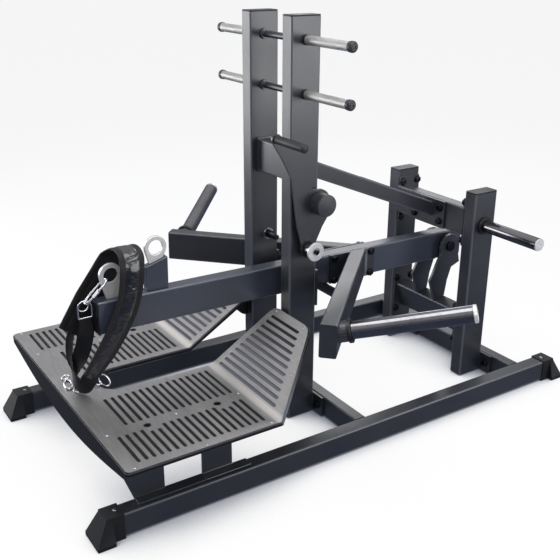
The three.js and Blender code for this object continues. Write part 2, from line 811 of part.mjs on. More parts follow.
// Axle with a bolted head outside each bracket
function pivotAxle() {
  const outerY = bracketInnerY + bracketThickness + fitGap;
  const endY = outerY + weldBite;
  const pieces = [roundBar(axleDiameter, [pivotX, -endY, pivotZ], [pivotX, endY, pivotZ])];
  for (const sign of [-1, 1]) {
    pieces.push(roundBar(
      axleHeadDiameter, [pivotX, sign * outerY, pivotZ], [pivotX, sign * (outerY + axleHeadLength), pivotZ],
    ));
  }
  return join(...pieces);
}

// Lever tube, in the lever's own frame with the pivot at zero and the nose towards -X
function leverTube() {
  const tube = alongX(squareTube(leverWidth, leverHeight, leverWall, leverFront + leverRear));
  tube.translate(-leverFront, 0, 0);
  const rearPlate = alongX(roundedBar(leverWidth - leverWall, leverHeight - leverWall, leverWall));
  rearPlate.translate(leverRear - leverWall, 0, 0);
  const sleeveHole = roundBar(
    bearingSleeveDiameter + 2 * fitGap, [0, -leverSideY - overrun, 0], [0, leverSideY + overrun, 0],
  );
  return cut(join(tube, rearPlate), sleeveHole);
}

function leverCap() {
  const plate = alongX(roundedBar(leverWidth, leverHeight, leverCapThickness));
  plate.translate(-leverFront - fitGap - leverCapThickness, 0, 0);
  const plug = alongX(roundedBar(
    leverWidth - 2 * leverWall - 2 * fitGap, leverHeight - 2 * leverWall - 2 * fitGap, leverCapPlug,
  ));
  plug.translate(-leverFront - fitGap - weldBite, 0, 0);
  return join(plate, plug);
}

// Flanged bearing in the lever's side wall
function pivotBearing(signY) {
  const bore = axleDiameter / 2 + fitGap;
  const sleeve = bearingSleeveDiameter / 2;
  const flange = bearingFlangeDiameter / 2;
  const inner = leverSideY - bearingSleeveDepth;
  const face = leverSideY + fitGap;
  return reflected(turnedBar([
    [bore, inner], [sleeve, inner], [sleeve, face], [flange, face], [flange, face + bearingFlangeThickness],
    [bore, face + bearingFlangeThickness], [bore, inner],
  ]), 1, signY);
}

// Post on the lever with a sloping top
function eyePost() {
  const base = leverTop + fitGap;
  return uprightPlate(polygon([
    [-postFront, base], [postLength - postFront, base],
    [postLength - postFront, base + postRearHeight], [-postFront, base + postFrontHeight],
  ]), -postThickness / 2, postThickness / 2);
}

// Lifting eye: a ring drawn down to a straight foot given by its two end points
function eyeRing(centreX, centreZ, footFront, footRear) {
  const shape = new THREE.Shape();
  const tangentPoint = (foot, side) => {
    const dx = foot[0] - centreX;
    const dz = foot[1] - centreZ;
    const away = Math.atan2(dz, dx);
    const open = Math.acos(ringOuterRadius / Math.hypot(dx, dz));
    return away + side * open;
  };
  shape.moveTo(...footFront);
  shape.lineTo(...footRear);
  const start = tangentPoint(footRear, 1);
  const end = tangentPoint(footFront, -1);
  shape.absarc(centreX, centreZ, ringOuterRadius, start, end < start ? end + 2 * Math.PI : end);
  const hole = new THREE.Path();
  hole.absarc(centreX, centreZ, ringHoleRadius, 0, 2 * Math.PI);
  shape.holes.push(hole);
  return uprightPlate(shape, -ringThickness / 2, ringThickness / 2, 2 * plateArcSegments);
}

function frontEyeRing() {
  const footZ = leverTop + fitGap;
  const half = frontRingFootWidth / 2;
  const footFront = [-frontRingAlong - half, footZ];
  const footRear = [half - frontRingAlong, footZ];
  return eyeRing(-frontRingAlong, leverTop + frontRingHeight, footFront, footRear);
}

function rearEyeRing() {
  const half = rearRingFootWidth / 2;
  const rise = (postRearHeight - postFrontHeight) / postLength;
  const seatZ = (x) => leverTop + 2 * fitGap + postFrontHeight + (x + postFront) * rise;
  const frontX = -rearRingAlong - half;
  const rearX = half - rearRingAlong;
  const centreZ = seatZ(-rearRingAlong) + rearRingAbovePost;
  return eyeRing(-rearRingAlong, centreZ, [frontX, seatZ(frontX)], [rearX, seatZ(rearX)]);
}

// Weight arm bolted to the lever's side, drawn on the near side in the lever's frame
function weightArm() {
  const turn = armAngle * radians;
  const faceY = leverSideY + fitGap;
  const outward = (geometry) => (
    geometry.rotateZ(Math.PI + turn).translate(-armRootAlong, -faceY - flangeThickness, 0)
  );
  const bar = alongX(roundedBar(armWidth, armHeight, armLength + armWidth));
  const tube = outward(bar.translate(-armWidth, 0, 0));
  const hollow = outward(alongX(roundedBar(
    armWidth - 2 * frameWall, armHeight - 2 * frameWall, armLength + armWidth - frameWall,
  )).translate(-armWidth, 0, 0));
  const outerSide = block(
    -2 * leverFront, 2 * leverFront, -2 * leverFront, -faceY - flangeThickness / 2, -leverHeight, leverHeight,
  );
  const beyondFlange = block(
    -2 * leverFront, 2 * leverFront, -2 * leverFront, -faceY - flangeThickness, -leverHeight, leverHeight,
  );
  const plate = block(
    -armFlangeFront, armFlangeLength - armFlangeFront,
    -faceY - flangeThickness, -faceY, -leverHeight / 2, leverHeight / 2,
  );
  const vent = outward(roundBar(
    armVentDiameter, [armVentAlong, 0, 0], [armVentAlong, armWidth / 2 + overrun, 0],
  ));
  const pieces = [common(tube, outerSide), plate];
  const plateCentre = armFlangeLength / 2 - armFlangeFront;
  for (const stepX of [-1, 1]) {
    for (const stepZ of [-1, 1]) {
      const boltX = plateCentre + stepX * (armFlangeLength / 2 - armBoltEdgeX);
      const boltZ = stepZ * (leverHeight / 2 - armBoltEdgeZ);
      pieces.push(boltHead(boltX, -faceY - flangeThickness, boltZ, 0, -1));
    }
  }
  const stub = placedOnArm(roundBar(sleeveStubDiameter, [0, 0, 0], [0, sleeveRoot() - weldBite, 0]));
  const collar = placedOnArm(roundBar(
    sleeveCollarDiameter, [0, sleeveRoot() - sleeveCollarLength, 0], [0, sleeveRoot(), 0],
  ));
  const spigot = placedOnArm(roundBar(
    sleeveDiameter - 2 * sleeveWall - 2 * fitGap,
    [0, sleeveRoot() - weldBite, 0], [0, sleeveRoot() + sleeveSpigotLength, 0],
  ));
  return cut(join(...pieces, stub, collar, spigot), common(hollow, beyondFlange), vent);
}

// Distance along the sleeve's axis from the arm's centre plane to the sleeve's root
function sleeveRoot() {
  return armWidth / 2 + sleeveStubLength;
}

// Turns a bar that lies along +Y so that it leaves the near arm's rear face, tilted up
function placedOnArm(geometry) {
  const turn = armAngle * radians;
  const along = armLength - sleeveFromArmEnd;
  const faceY = leverSideY + fitGap + flangeThickness;
  geometry.rotateX(sleeveTilt * radians).rotateZ(Math.PI + turn);
  return geometry.translate(
    -armRootAlong - along * Math.cos(turn), -faceY - along * Math.sin(turn), sleeveAboveCentre,
  );
}

// Chrome loading sleeve on the arm's spigot, open at its root
function loadingSleeve() {
  const outer = sleeveDiameter / 2;
  const inner = outer - sleeveWall;
  const start = sleeveRoot() + fitGap;
  const end = start + sleeveLength;
  return placedOnArm(turnedBar([
    [inner, start], [outer, start], [outer, end], [0, end], [0, end - sleeveEndThickness],
    [inner, end - sleeveEndThickness], [inner, start],
  ]));
}

// Height of the lever's underside above the floor at a place along the machine
function leverUndersideZ(x) {
  const slope = leverNoseTilt * radians;
  return pivotZ + (pivotX - x) * Math.tan(slope) - leverHeight / 2 / Math.cos(slope);
}

// Bar behind the tower that the lever lies on, held by slanting struts from plates bolted to the tall uprights
const restBarFrontX = towerRearX + restBarFromTower;
const restBarRearX = restBarFrontX + restBarDepth;
const restBarTopZ = leverUndersideZ(restBarRearX) - restPadThickness - 2 * fitGap;

function leverRest() {
  const barBottomZ = restBarTopZ - restBarHeight;
  const plateFrontX = towerRearX + fitGap;
  const plateRearX = plateFrontX + flangeThickness;
  const barEndY = towerOuterY - restBarInset;
  const flangeTopZ = pivotZ + restFlangeAbovePivot;
  const flangeCentreZ = flangeTopZ - restFlangeHeight / 2;
  const pieces = [block(restBarFrontX, restBarRearX, -barEndY, barEndY, barBottomZ, restBarTopZ)];
  for (const sign of [-1, 1]) {
    const centreY = sign * (towerInnerY + uprightWidth / 2);
    const halfWidth = uprightWidth / 2 - restFlangeEdge;
    pieces.push(block(
      plateFrontX, plateRearX, centreY - halfWidth, centreY + halfWidth,
      flangeTopZ - restFlangeHeight, flangeTopZ,
    ));
    const halfStrut = restStrutThickness / 2;
    const strutCentreY = sign * (towerInnerY + restStrutInset + halfStrut);
    const strutTopZ = pivotZ + restStrutAbovePivot;
    pieces.push(uprightPlate(polygon([
      [plateFrontX + weldBite, strutTopZ], [plateFrontX + weldBite, strutTopZ - restStrutHeight],
      [restBarFrontX + weldBite, barBottomZ + weldBite], [restBarFrontX + weldBite, restBarTopZ - weldBite],
    ]), strutCentreY - halfStrut, strutCentreY + halfStrut));
    for (const step of [-1, 1]) {
      const boltY = strutCentreY - sign * (halfStrut + boltHeadAcross / 2 + 2 * fitGap);
      const boltZ = flangeCentreZ + step * (restFlangeHeight / 2 - restBoltEdgeZ);
      pieces.push(boltHead(plateRearX, boltY, boltZ, 1, 0));
    }
  }
  return join(...pieces);
}

function restPad() {
  const topZ = restBarTopZ + fitGap + restPadThickness;
  return block(
    restBarFrontX + restPadInset, restBarRearX - restPadInset,
    -restPadWidth / 2, restPadWidth / 2, restBarTopZ + fitGap, topZ,
  );
}

// Lock lever: a bent plate on a hub, drawn on the near side
const lockPlateOuterY = -towerOuterY - lockPlateStandoff - lockPlateThickness;
const lockPlateInnerY = -towerOuterY - lockPlateStandoff;
const lockHubEndY = lockPlateOuterY - lockHubReach;
const lockBulge = [lockShaftX + lockBulgeX, lockShaftZ + lockBulgeZ];
const lockTip = [lockShaftX + lockTipX, lockShaftZ + lockTipZ];

// Outline of the lock's plate: round the hub, up the rear edge, round the tip and down the front edge
function lockOutline() {
  const shape = new THREE.Shape();
  const arc = ([x, z], radius, [from, to]) => shape.absarc(x, z, radius, from * radians, to * radians);
  const edge = (points) => points.forEach(([x, z]) => shape.lineTo(lockShaftX + x, lockShaftZ + z));
  arc([lockShaftX, lockShaftZ], lockHubLobeRadius, lockHubArc);
  edge(lockNeckEdge);
  arc(lockBulge, lockBulgeRadius, lockBulgeArc);
  edge(lockRearEdge);
  arc(lockTip, lockTipRadius, lockTipArc);
  edge(lockFrontEdge);
  return shape;
}

function lockLever() {
  const plate = uprightPlate(lockOutline(), lockPlateOuterY, lockPlateInnerY, 2 * plateArcSegments);
  const hub = roundBar(
    lockHubDiameter, [lockShaftX, lockHubEndY, lockShaftZ], [lockShaftX, -towerOuterY - fitGap, lockShaftZ],
  );
  const hubBore = roundBar(
    lockShaftDiameter + 2 * fitGap,
    [lockShaftX, lockHubEndY - overrun, lockShaftZ], [lockShaftX, overrun - towerOuterY, lockShaftZ],
  );
  const rollerHole = roundBar(
    rollerBoreDiameter, [lockBulge[0], lockPlateOuterY - overrun, lockBulge[1]],
    [lockBulge[0], lockPlateInnerY + overrun, lockBulge[1]],
  );
  const gripHole = roundBar(
    gripStudDiameter + 2 * fitGap,
    [lockTip[0], lockPlateOuterY - overrun, lockTip[1]], [lockTip[0], lockPlateInnerY + overrun, lockTip[1]],
  );
  return cut(join(plate, hub), hubBore, rollerHole, gripHole);
}

// Shaft through the near upright with a chrome disc outside the hub
function lockShaft() {
  const discInnerY = lockHubEndY - fitGap;
  const discOuterY = discInnerY - lockDiscThickness;
  const innerEndY = -towerInnerY + lockShaftReach;
  const onAxis = (y) => [lockShaftX, y, lockShaftZ];
  const shaft = roundBar(lockShaftDiameter, onAxis(discInnerY - weldBite), onAxis(innerEndY));
  const disc = roundBar(lockDiscDiameter, onAxis(discOuterY), onAxis(discInnerY));
  return join(shaft, disc, boltHead(lockShaftX, discOuterY, lockShaftZ, 0, -1));
}

function lockGrip() {
  const startY = lockPlateOuterY - fitGap;
  const onAxis = (y) => [lockTip[0], y, lockTip[1]];
  const bar = roundBar(gripDiameter, onAxis(startY - gripLength), onAxis(startY));
  const stud = roundBar(gripStudDiameter, onAxis(startY - weldBite), onAxis(lockPlateInnerY));
  return join(bar, stud);
}

function lockRoller() {
  const startY = lockPlateOuterY - fitGap;
  const onAxis = (y) => [lockBulge[0], y, lockBulge[1]];
  const body = roundBar(rollerDiameter, onAxis(startY - rollerLength), onAxis(startY));
  const bore = roundBar(rollerBoreDiameter, onAxis(startY - rollerLength - overrun), onAxis(startY + overrun));
  return cut(body, bore);
}

// Plan of the flat deck with its open slot, and the wings' outlines in their own plane
const wingTurn = wingTilt * radians;

function deckPlan(inset) {
  const half = deckWidth / 2 - inset;
  const front = deckFrontX + inset;
  const slot = slotHalfWidth + inset;
  const slotCentreX = deckFrontX + slotFrontDepth + slotHalfWidth;
  const shape = new THREE.Shape();
  shape.moveTo(deckBendX, -half);
  shape.lineTo(deckBendX, -slot);
  shape.lineTo(slotCentreX, -slot);
  shape.absarc(slotCentreX, 0, slot, 1.5 * Math.PI, Math.PI / 2, true);
  shape.lineTo(deckBendX, slot);
  shape.lineTo(deckBendX, half);
  shape.absarc(front + deckCorner, half - deckCorner, deckCorner, Math.PI / 2, Math.PI);
  shape.absarc(front + deckCorner, deckCorner - half, deckCorner, Math.PI, 1.5 * Math.PI);
  return shape;
}

// Wing outline as (distance up the slope, Y) on the far side
function wingOutline(inset, tuck) {
  const inner = slotHalfWidth + inset;
  const outer = deckWidth / 2 - inset;
  const top = wingLength - inset;
  const outerTop = deckWidth / 2 - wingTopFromSide - inset;
  const corner = wingTopCorner;
  const shape = new THREE.Shape();
  shape.moveTo(-tuck, inner);
  shape.lineTo(0, inner);
  shape.lineTo(top - corner, inner);
  shape.quadraticCurveTo(top, inner, top, inner + corner);
  shape.lineTo(top, outerTop - corner);
  shape.quadraticCurveTo(top, outerTop, top - corner, outerTop + corner * (outer - outerTop) / top);
  shape.lineTo(0, outer);
  shape.lineTo(-tuck, outer);
  return shape;
}

// Moves a solid drawn with (slope, Y) in plan onto the wing's plane, top face at the given offset below it
function ontoWing(geometry, depthBelow) {
  geometry.translate(0, 0, -depthBelow);
  return geometry.rotateY(-wingTurn).translate(deckBendX, 0, deckTopZ);
}

// Bent layer of the deck between two depths below its top face
function deckLayer(topDepth, bottomDepth, inset) {
  const bendShift = Math.tan(wingTurn / 2);
  const upSlope = wingLength - inset;
  const line = (depth) => [
    [deckFrontX + inset, deckTopZ - depth],
    [deckBendX + depth * bendShift, deckTopZ - depth],
    [
      deckBendX + upSlope * Math.cos(wingTurn) + depth * Math.sin(wingTurn),
      deckTopZ + upSlope * Math.sin(wingTurn) - depth * Math.cos(wingTurn),
    ],
  ];
  const profile = polygon([...line(bottomDepth), ...line(topDepth).reverse()]);
  const layer = uprightPlate(profile, -deckWidth, deckWidth);
  const plan = extruded(deckPlan(inset), bottomDepth + deckCutterReach, plateArcSegments);
  plan.translate(0, 0, deckTopZ - bottomDepth - deckCutterReach / 2);
  const wings = sides.map(([, signY]) => {
    const wing = extruded(wingOutline(inset, bottomDepth), 2 * bottomDepth + 2 * overrun, cornerSegments * 2);
    return reflected(ontoWing(wing, 2 * bottomDepth), 1, signY);
  });
  return common(layer, join(plan, ...wings));
}

// Long hole with round ends, drawn in plan along Y
function longHole(x, minY, maxY, depth) {
  const radius = cutWidth / 2;
  const shape = new THREE.Shape();
  shape.absarc(x, maxY - radius, radius, 0, Math.PI);
  shape.absarc(x, minY + radius, radius, Math.PI, 2 * Math.PI);
  return extruded(shape, depth, cutEndSegments);
}

// Stainless tread: one bent sheet with rows of long holes
function deckTread() {
  const holeDepth = treadThickness + 2 * overrun;
  const holeBottomZ = deckTopZ - treadThickness - overrun;
  const slotEndY = slotHalfWidth + cutSlotMargin;
  const sideEndY = deckWidth / 2 - cutSideMargin;
  const dividerY = slotEndY + cutDividerShare * (sideEndY - slotEndY);
  const rows = [
    { inner: slotEndY, outer: dividerY - cutDividerWidth / 2, frontMargin: innerCutFrontMargin },
    { inner: dividerY + cutDividerWidth / 2, outer: sideEndY, frontMargin: outerCutFrontMargin },
  ];
  const boltX = [deckFrontX + treadBoltFromFront, deckBendX - treadBoltFromBend];
  const boltY = dividerY + treadBoltPastDivider;
  const besideBolt = (x, inner) => (
    inner > dividerY && boltX.some((place) => x > place - treadBoltAhead && x < place + treadBoltBehind)
  );
  const holes = [];
  for (const { inner, outer, frontMargin } of rows) {
    const room = deckFlatLength - cutFromBend - frontMargin;
    for (let back = 0; back <= room; back += cutSpacing) {
      const x = deckBendX - cutFromBend - back;
      const start = besideBolt(x, inner) ? inner + treadBoltShortening : inner;
      const hole = longHole(x, start, outer, holeDepth);
      hole.translate(0, 0, holeBottomZ);
      holes.push(hole, reflected(hole, 1, -1));
    }
  }
  for (const x of boltX) {
    for (const y of [-boltY, boltY]) {
      holes.push(roundBar(treadBoltHoleDiameter, [x, y, holeBottomZ], [x, y, holeBottomZ + holeDepth]));
    }
  }
  for (let i = 0; i < wingCutCount; i += 1) {
    const slope = wingCutFromBend + i * wingCutSpacing;
    const share = slope / wingLength;
    const inner = slotHalfWidth + wingCutInnerMargin;
    const outer = deckWidth / 2 - wingTopFromSide * share - wingCutOuterMargin;
    for (const [, signY] of sides) {
      const hole = ontoWing(longHole(slope, inner, outer, holeDepth), treadThickness + overrun);
      holes.push(reflected(hole, 1, signY));
    }
  }
  return cut(deckLayer(0, treadThickness, treadInset), ...holes);
}

// Black base under the tread with its arched front apron and the stays to the tall uprights
function deckBase() {
  const topDepth = treadThickness + fitGap;
  const bottomDepth = topDepth + deckBaseThickness;
  const base = deckLayer(topDepth, bottomDepth, 0);
  const half = deckWidth / 2 - deckCorner;
  const apronTopZ = deckTopZ - topDepth - weldBite;
  const points = [[half, apronTopZ], [-half, apronTopZ]];
  for (let i = 0; i <= apronSteps; i += 1) {
    const share = i / apronSteps;
    const depth = apronEndDepth + (apronMiddleDepth - apronEndDepth) * Math.sin(Math.PI * share);
    points.push([half * (2 * share - 1), deckTopZ - topDepth - deckBaseThickness - depth]);
  }
  const apron = alongX(extruded(polygon(points), apronThickness));
  apron.translate(deckFrontX, 0, 0);
  const bodyDepth = (topDepth + bottomDepth) / 2;
  const onSlope = (z) => deckBendX + (z - deckTopZ) / Math.tan(wingTurn) + bodyDepth / Math.sin(wingTurn);
  const stayTopZ = stayBottomZ + stayHeight;
  const stayEndX = towerFrontX - fitGap;
  const stayOuterY = towerOuterY - stayInset;
  const stay = uprightPlate(polygon([
    [stayEndX, stayTopZ], [onSlope(stayTopZ), stayTopZ],
    [onSlope(stayBottomZ + stayCurveEnd), stayBottomZ + stayCurveEnd],
    ...stayCurve.map(([x, z]) => [stayEndX + x, stayBottomZ + z]).reverse(), [stayEndX, stayBottomZ],
  ]), stayOuterY - stayWidth, stayOuterY);
  return join(base, apron, stay, reflected(stay, 1, -1));
}

// Platform leg: a web with a foot on the rail and a flange under the deck
function deckLeg(bottomX, bottomLength, lean, footTail, signY) {
  const footZ = railTopZ + fitGap;
  const topZ = deckTopZ - treadThickness - deckBaseThickness - 2 * fitGap;
  const rearX = bottomX + bottomLength;
  const topFrontX = bottomX - lean;
  const web = uprightPlate(polygon([
    [bottomX, footZ], [rearX, footZ], [rearX, topZ], [topFrontX, topZ],
  ]), legWebY, legWebY + legThickness);
  const foot = block(bottomX, rearX + footTail, legWebY, legWebY + legFootWidth, footZ, footZ + legThickness);
  const flange = block(topFrontX, rearX, legWebY, legWebY + legTopFlange, topZ - legThickness, topZ);
  return reflected(join(web, foot, flange), 1, signY);
}

// Middle of the front eye and of the D-ring that hangs below it, in the lever's surroundings at rest
const noseTurn = leverNoseTilt * radians;
const eyeAboveAxis = leverTop + frontRingHeight;
const eyeX = pivotX - frontRingAlong * Math.cos(noseTurn) + eyeAboveAxis * Math.sin(noseTurn);
const eyeZ = pivotZ + frontRingAlong * Math.sin(noseTurn) + eyeAboveAxis * Math.cos(noseTurn);
const dRingX = eyeX + dRingFromEyeX;
const dRingZ = eyeZ + dRingFromEyeZ;
const fromDRing = ([x, y, z]) => [dRingX + x, y, dRingZ + z];

// Belt pad arched over the lever: flat side faces away from the lever
function beltPad() {
  const archZ = dRingZ + archStartZ;
  return band(beltStations.map(fromDRing), beltWidth, beltThickness, padSteps, (point) => (
    new THREE.Vector3(0, point.y, Math.max(fitGap, archLift * (point.z - archZ)))
  ));
}

// Point on the line through a band's last two stations, a distance past its end
function pastEnd(end, before, distance) {
  const point = new THREE.Vector3(...end);
  const heading = point.clone().sub(new THREE.Vector3(...before)).normalize();
  return point.addScaledVector(heading, distance).toArray();
}

// Webbing that joins the pad's lower ends, with the tail that hangs from the D-ring
function beltStrap() {
  const farEnd = [beltStations.at(-1), beltStations.at(-2)].map(fromDRing);
  const nearEnd = [beltStations[0], beltStations[1]].map(fromDRing);
  const loopStations = [
    pastEnd(...farEnd, fitGap), pastEnd(...farEnd, strapLead), ...strapStations.map(fromDRing),
    pastEnd(...nearEnd, strapLead), pastEnd(...nearEnd, fitGap),
  ];
  const loop = band(loopStations, strapWidth, strapThickness, strapSteps, (point) => (
    new THREE.Vector3(-1, point.y / strapWidth, 0)
  ));
  const ringBottomZ = dRingZ - dRingHeight / 2;
  const hangingStations = [
    [dRingX, 0, ringBottomZ - fitGap], [dRingX, 0, ringBottomZ - tailLead], ...tailStations.map(fromDRing),
  ];
  const tail = band(hangingStations, strapWidth, strapThickness, tailSteps, (point, share) => (
    new THREE.Vector3(-share, share - 1, -share)
  ));
  return join(loop, tail);
}

// Closed rod along a rounded rectangle: the path lies in (across, along) with its middle at zero
function rodLoop(width, height, rod, bend) {
  const bevel = rodBevel * rod;
  const outer = roundedRectangle(width + rod, height + rod, bend + rod / 2);
  outer.holes.push(roundedRectangle(width - rod, height - rod, Math.max(bend - rod / 2, bevel / 2)));
  return new THREE.ExtrudeGeometry(outer, {
    depth: rod - 2 * bevel, bevelEnabled: true, bevelThickness: bevel, bevelSize: bevel, bevelOffset: -bevel,
    bevelSegments: 1, curveSegments: 2,
  }).translate(0, 0, bevel - rod / 2);
}

function beltRing() {
  const ring = rodLoop(dRingWidth - dRingRod, dRingHeight - dRingRod, dRingRod, dRingWidth / 3);
  return ring.rotateX(Math.PI / 2).translate(dRingX, 0, dRingZ);
}

// Snap hook from the front eye ring to the D-ring, in the lever's surroundings at rest
function snapHook() {
  const ringTopZ = dRingZ + dRingHeight / 2 - dRingRod - hookRod / 2 - 3 * fitGap;
  const run = new THREE.Vector2(dRingX - eyeX, ringTopZ - eyeZ);
  const heading = run.angle();
  run.normalize().multiplyScalar(ringHoleRadius - hookRod / 2 - 3 * fitGap);
  const start = new THREE.Vector2(eyeX + run.x, eyeZ + run.y);
  const end = new THREE.Vector2(dRingX, ringTopZ);
  const length = start.distanceTo(end);
  const loop = rodLoop(length, hookWidth, hookRod, hookBend);
  loop.rotateX(Math.PI / 2).rotateX(Math.PI / 2);
  return loop.rotateY(-heading).translate((start.x + end.x) / 2, 0, (start.y + end.y) / 2);
}

// Base
for (const [side, signY] of sides) {
  addTo(machine, `base_rail_${side}`, baseRail(signY), frameMetal());
  addTo(machine, `rail_foot_front_${side}`, railFoot(-1, signY), rubberBlack());
  addTo(machine, `rail_foot_rear_${side}`, railFoot(1, signY), rubberBlack());
}
const footPlateRear = footPlateThickness + fitGap;
addTo(machine, 'front_cross_tube', baseCrossTube(towerRearX + footPlateRear), frameMetal());
addTo(machine, 'rear_cross_tube', baseCrossTube(rearUprightRearX + footPlateRear), frameMetal());

// Uprights with the holes for the rods, the lock shaft and the rear studs
for (const [side, signY] of sides) {
  const acrossTower = (diameter, x, z) => roundBar(
    diameter + 2 * fitGap,
    [x, signY * (towerInnerY - overrun), z], [x, signY * (towerOuterY + overrun), z],
  );
  const towerHoles = [
    acrossTower(pegRodDiameter, towerCentreX, upperPegZ),
    acrossTower(pegRodDiameter, towerCentreX, lowerPegZ),
  ];
  if (signY < 0) towerHoles.push(acrossTower(lockShaftDiameter, lockShaftX, lockShaftZ));
  const tall = upright(towerFrontX, towerInnerY, towerHeight, signY);
  addTo(machine, `tall_upright_${side}`, cut(tall, ...towerHoles), frameMetal());
  const tallCap = topCap(towerFrontX, towerInnerY, towerHeight, signY);
  addTo(machine, `tall_upright_cap_${side}`, tallCap, plasticBlack());
  const rear = upright(rearUprightFrontX, rearUprightInnerY, rearUprightHeight, signY);
  const studHole = roundBar(
    rearPegStudDiameter + 2 * fitGap,
    [rearUprightCentreX, signY * (rearUprightOuterY - uprightWidth / 2), rearPegZ],
    [rearUprightCentreX, signY * (rearUprightOuterY + overrun), rearPegZ],
  );
  addTo(machine, `rear_upright_${side}`, cut(rear, studHole), frameMetal());
  const rearCap = topCap(rearUprightFrontX, rearUprightInnerY, rearUprightHeight, signY);
  addTo(machine, `rear_upright_cap_${side}`, rearCap, plasticBlack());
}
addTo(machine, 'tall_cross_tube', towerTube(), frameMetal());
addTo(machine, 'upper_rear_tube', upperRearTube(), frameMetal());
addTo(machine, 'lower_rear_tube', lowerRearTube(), frameMetal());
addTo(machine, 'brace_tube', brace(), frameMetal());

// Storage pegs
addTo(machine, 'peg_rod_upper', pegRod(upperPegZ), frameMetal());
addTo(machine, 'peg_rod_lower', pegRod(lowerPegZ), frameMetal());
for (const [side, signY] of sides) {
  const facing = (geometry, x, y, z) => (
    geometry.rotateX(signY > 0 ? 0 : Math.PI).translate(x, signY * y, z)
  );
  const pegRoot = towerOuterY + fitGap;
  addTo(machine, `peg_upper_${side}`, facing(topPeg(), towerCentreX, pegRoot, upperPegZ), satinSteel());
  addTo(machine, `peg_lower_${side}`, facing(topPeg(), towerCentreX, pegRoot, lowerPegZ), satinSteel());
  const stud = facing(rearPegStud(), rearUprightCentreX, rearUprightOuterY, rearPegZ);
  addTo(machine, `rear_peg_stud_${side}`, stud, frameMetal());
  const peg = facing(rearPeg(), rearUprightCentreX, rearUprightOuterY, rearPegZ);
  addTo(machine, `rear_peg_${side}`, peg, polishedChrome());
}

// Pivot and lever
for (const [side, signY] of sides) {
  addTo(machine, `pivot_bracket_${side}`, pivotBracket(signY), frameMetal());
  addTo(lever, `pivot_bearing_${side}`, pivotBearing(signY), plasticBlack());
  addTo(lever, `weight_arm_${side}`, reflected(weightArm(), 1, -signY), frameMetal());
  addTo(lever, `loading_sleeve_${side}`, reflected(loadingSleeve(), 1, -signY), polishedChrome());
}
addTo(machine, 'pivot_axle', pivotAxle(), satinSteel());
addTo(lever, 'lever_tube', leverTube(), leverMetal());
addTo(lever, 'lever_front_cap', leverCap(), plasticBlack());
addTo(lever, 'eye_post', eyePost(), leverMetal());
addTo(lever, 'eye_ring_front', frontEyeRing(), satinSteel());
addTo(lever, 'eye_ring_rear', rearEyeRing(), satinSteel());
addTo(machine, 'lever_rest', leverRest(), frameMetal());
addTo(machine, 'lever_rest_pad', restPad(), rubberBlack());

// Lock lever
addTo(machine, 'lock_lever', lockLever(), frameMetal());
addTo(machine, 'lock_shaft', lockShaft(), satinSteel());
addTo(machine, 'lock_grip', lockGrip(), rubberBlack());
addTo(machine, 'lock_roller', lockRoller(), rubberBlack());

// Platform
addTo(machine, 'deck_tread', deckTread(), satinSteel());
addTo(machine, 'deck_base', deckBase(), frameMetal());
for (const [side, signY] of sides) {
  const lean = frontLegBottomX - deckFrontX - apronThickness - fitGap;
  const footTail = rearLegBottomX - frontLegBottomX - frontLegBottomLength - fitGap;
  const front = deckLeg(frontLegBottomX, frontLegBottomLength, lean, footTail, signY);
  const rear = deckLeg(rearLegBottomX, rearLegLength, 0, rearLegFootTail, signY);
  addTo(machine, `deck_leg_front_${side}`, front, frameMetal());
  addTo(machine, `deck_leg_rear_${side}`, rear, frameMetal());
}

// Belt
addTo(machine, 'belt_pad', beltPad(), blackFabric());
addTo(machine, 'belt_strap', beltStrap(), blackFabric());
addTo(machine, 'belt_ring', beltRing(), satinSteel());
addTo(machine, 'snap_hook', snapHook(), satinSteel());

export default machine;
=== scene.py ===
# Belt squat machine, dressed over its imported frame. Metres, +X to the pivot end, +Y to the far side, +Z up.
from functools import partial
from math import cos, exp, pi, radians, sin

import bpy
from mathutils import Matrix, Vector, noise


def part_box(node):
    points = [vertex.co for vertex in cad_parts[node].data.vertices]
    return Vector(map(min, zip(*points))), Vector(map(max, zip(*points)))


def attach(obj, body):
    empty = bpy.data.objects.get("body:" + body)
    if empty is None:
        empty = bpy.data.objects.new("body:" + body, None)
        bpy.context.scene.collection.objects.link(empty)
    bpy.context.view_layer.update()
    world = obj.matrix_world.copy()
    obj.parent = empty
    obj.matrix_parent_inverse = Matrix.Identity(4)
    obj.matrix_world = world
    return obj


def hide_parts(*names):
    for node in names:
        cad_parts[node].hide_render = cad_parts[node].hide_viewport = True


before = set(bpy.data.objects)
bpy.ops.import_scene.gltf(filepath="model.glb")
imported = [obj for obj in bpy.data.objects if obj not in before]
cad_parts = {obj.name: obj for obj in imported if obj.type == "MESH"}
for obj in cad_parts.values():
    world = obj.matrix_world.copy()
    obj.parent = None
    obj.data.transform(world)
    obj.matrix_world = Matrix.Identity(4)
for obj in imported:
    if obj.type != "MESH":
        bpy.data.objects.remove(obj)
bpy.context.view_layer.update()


# Studio: a 54 mm lens at the photograph's viewing angle, a seamless white floor and large soft boxes. The right
# one shows in the coat of the near faces and the left one, out of view, in the faces that look to the front.
camera_place = Vector((-1.4435, -2.1239, 1.4401))
camera_heading = radians(56.885)
camera_pitch = radians(21.586)
camera_roll = radians(0.306)
sensor_width = 36.0
picture_width = 560
focal_pixels = 834.7

forward = Vector((
    cos(camera_pitch) * cos(camera_heading),
    cos(camera_pitch) * sin(camera_heading),
    -sin(camera_pitch),
))
level_right = forward.cross(Vector((0, 0, 1))).normalized()
level_up = level_right.cross(forward)
right = level_right * cos(camera_roll) + level_up * sin(camera_roll)
up = level_up * cos(camera_roll) - level_right * sin(camera_roll)


def link_object(name, data):
    piece = bpy.data.objects.new(name, data)
    bpy.context.scene.collection.objects.link(piece)
    return piece


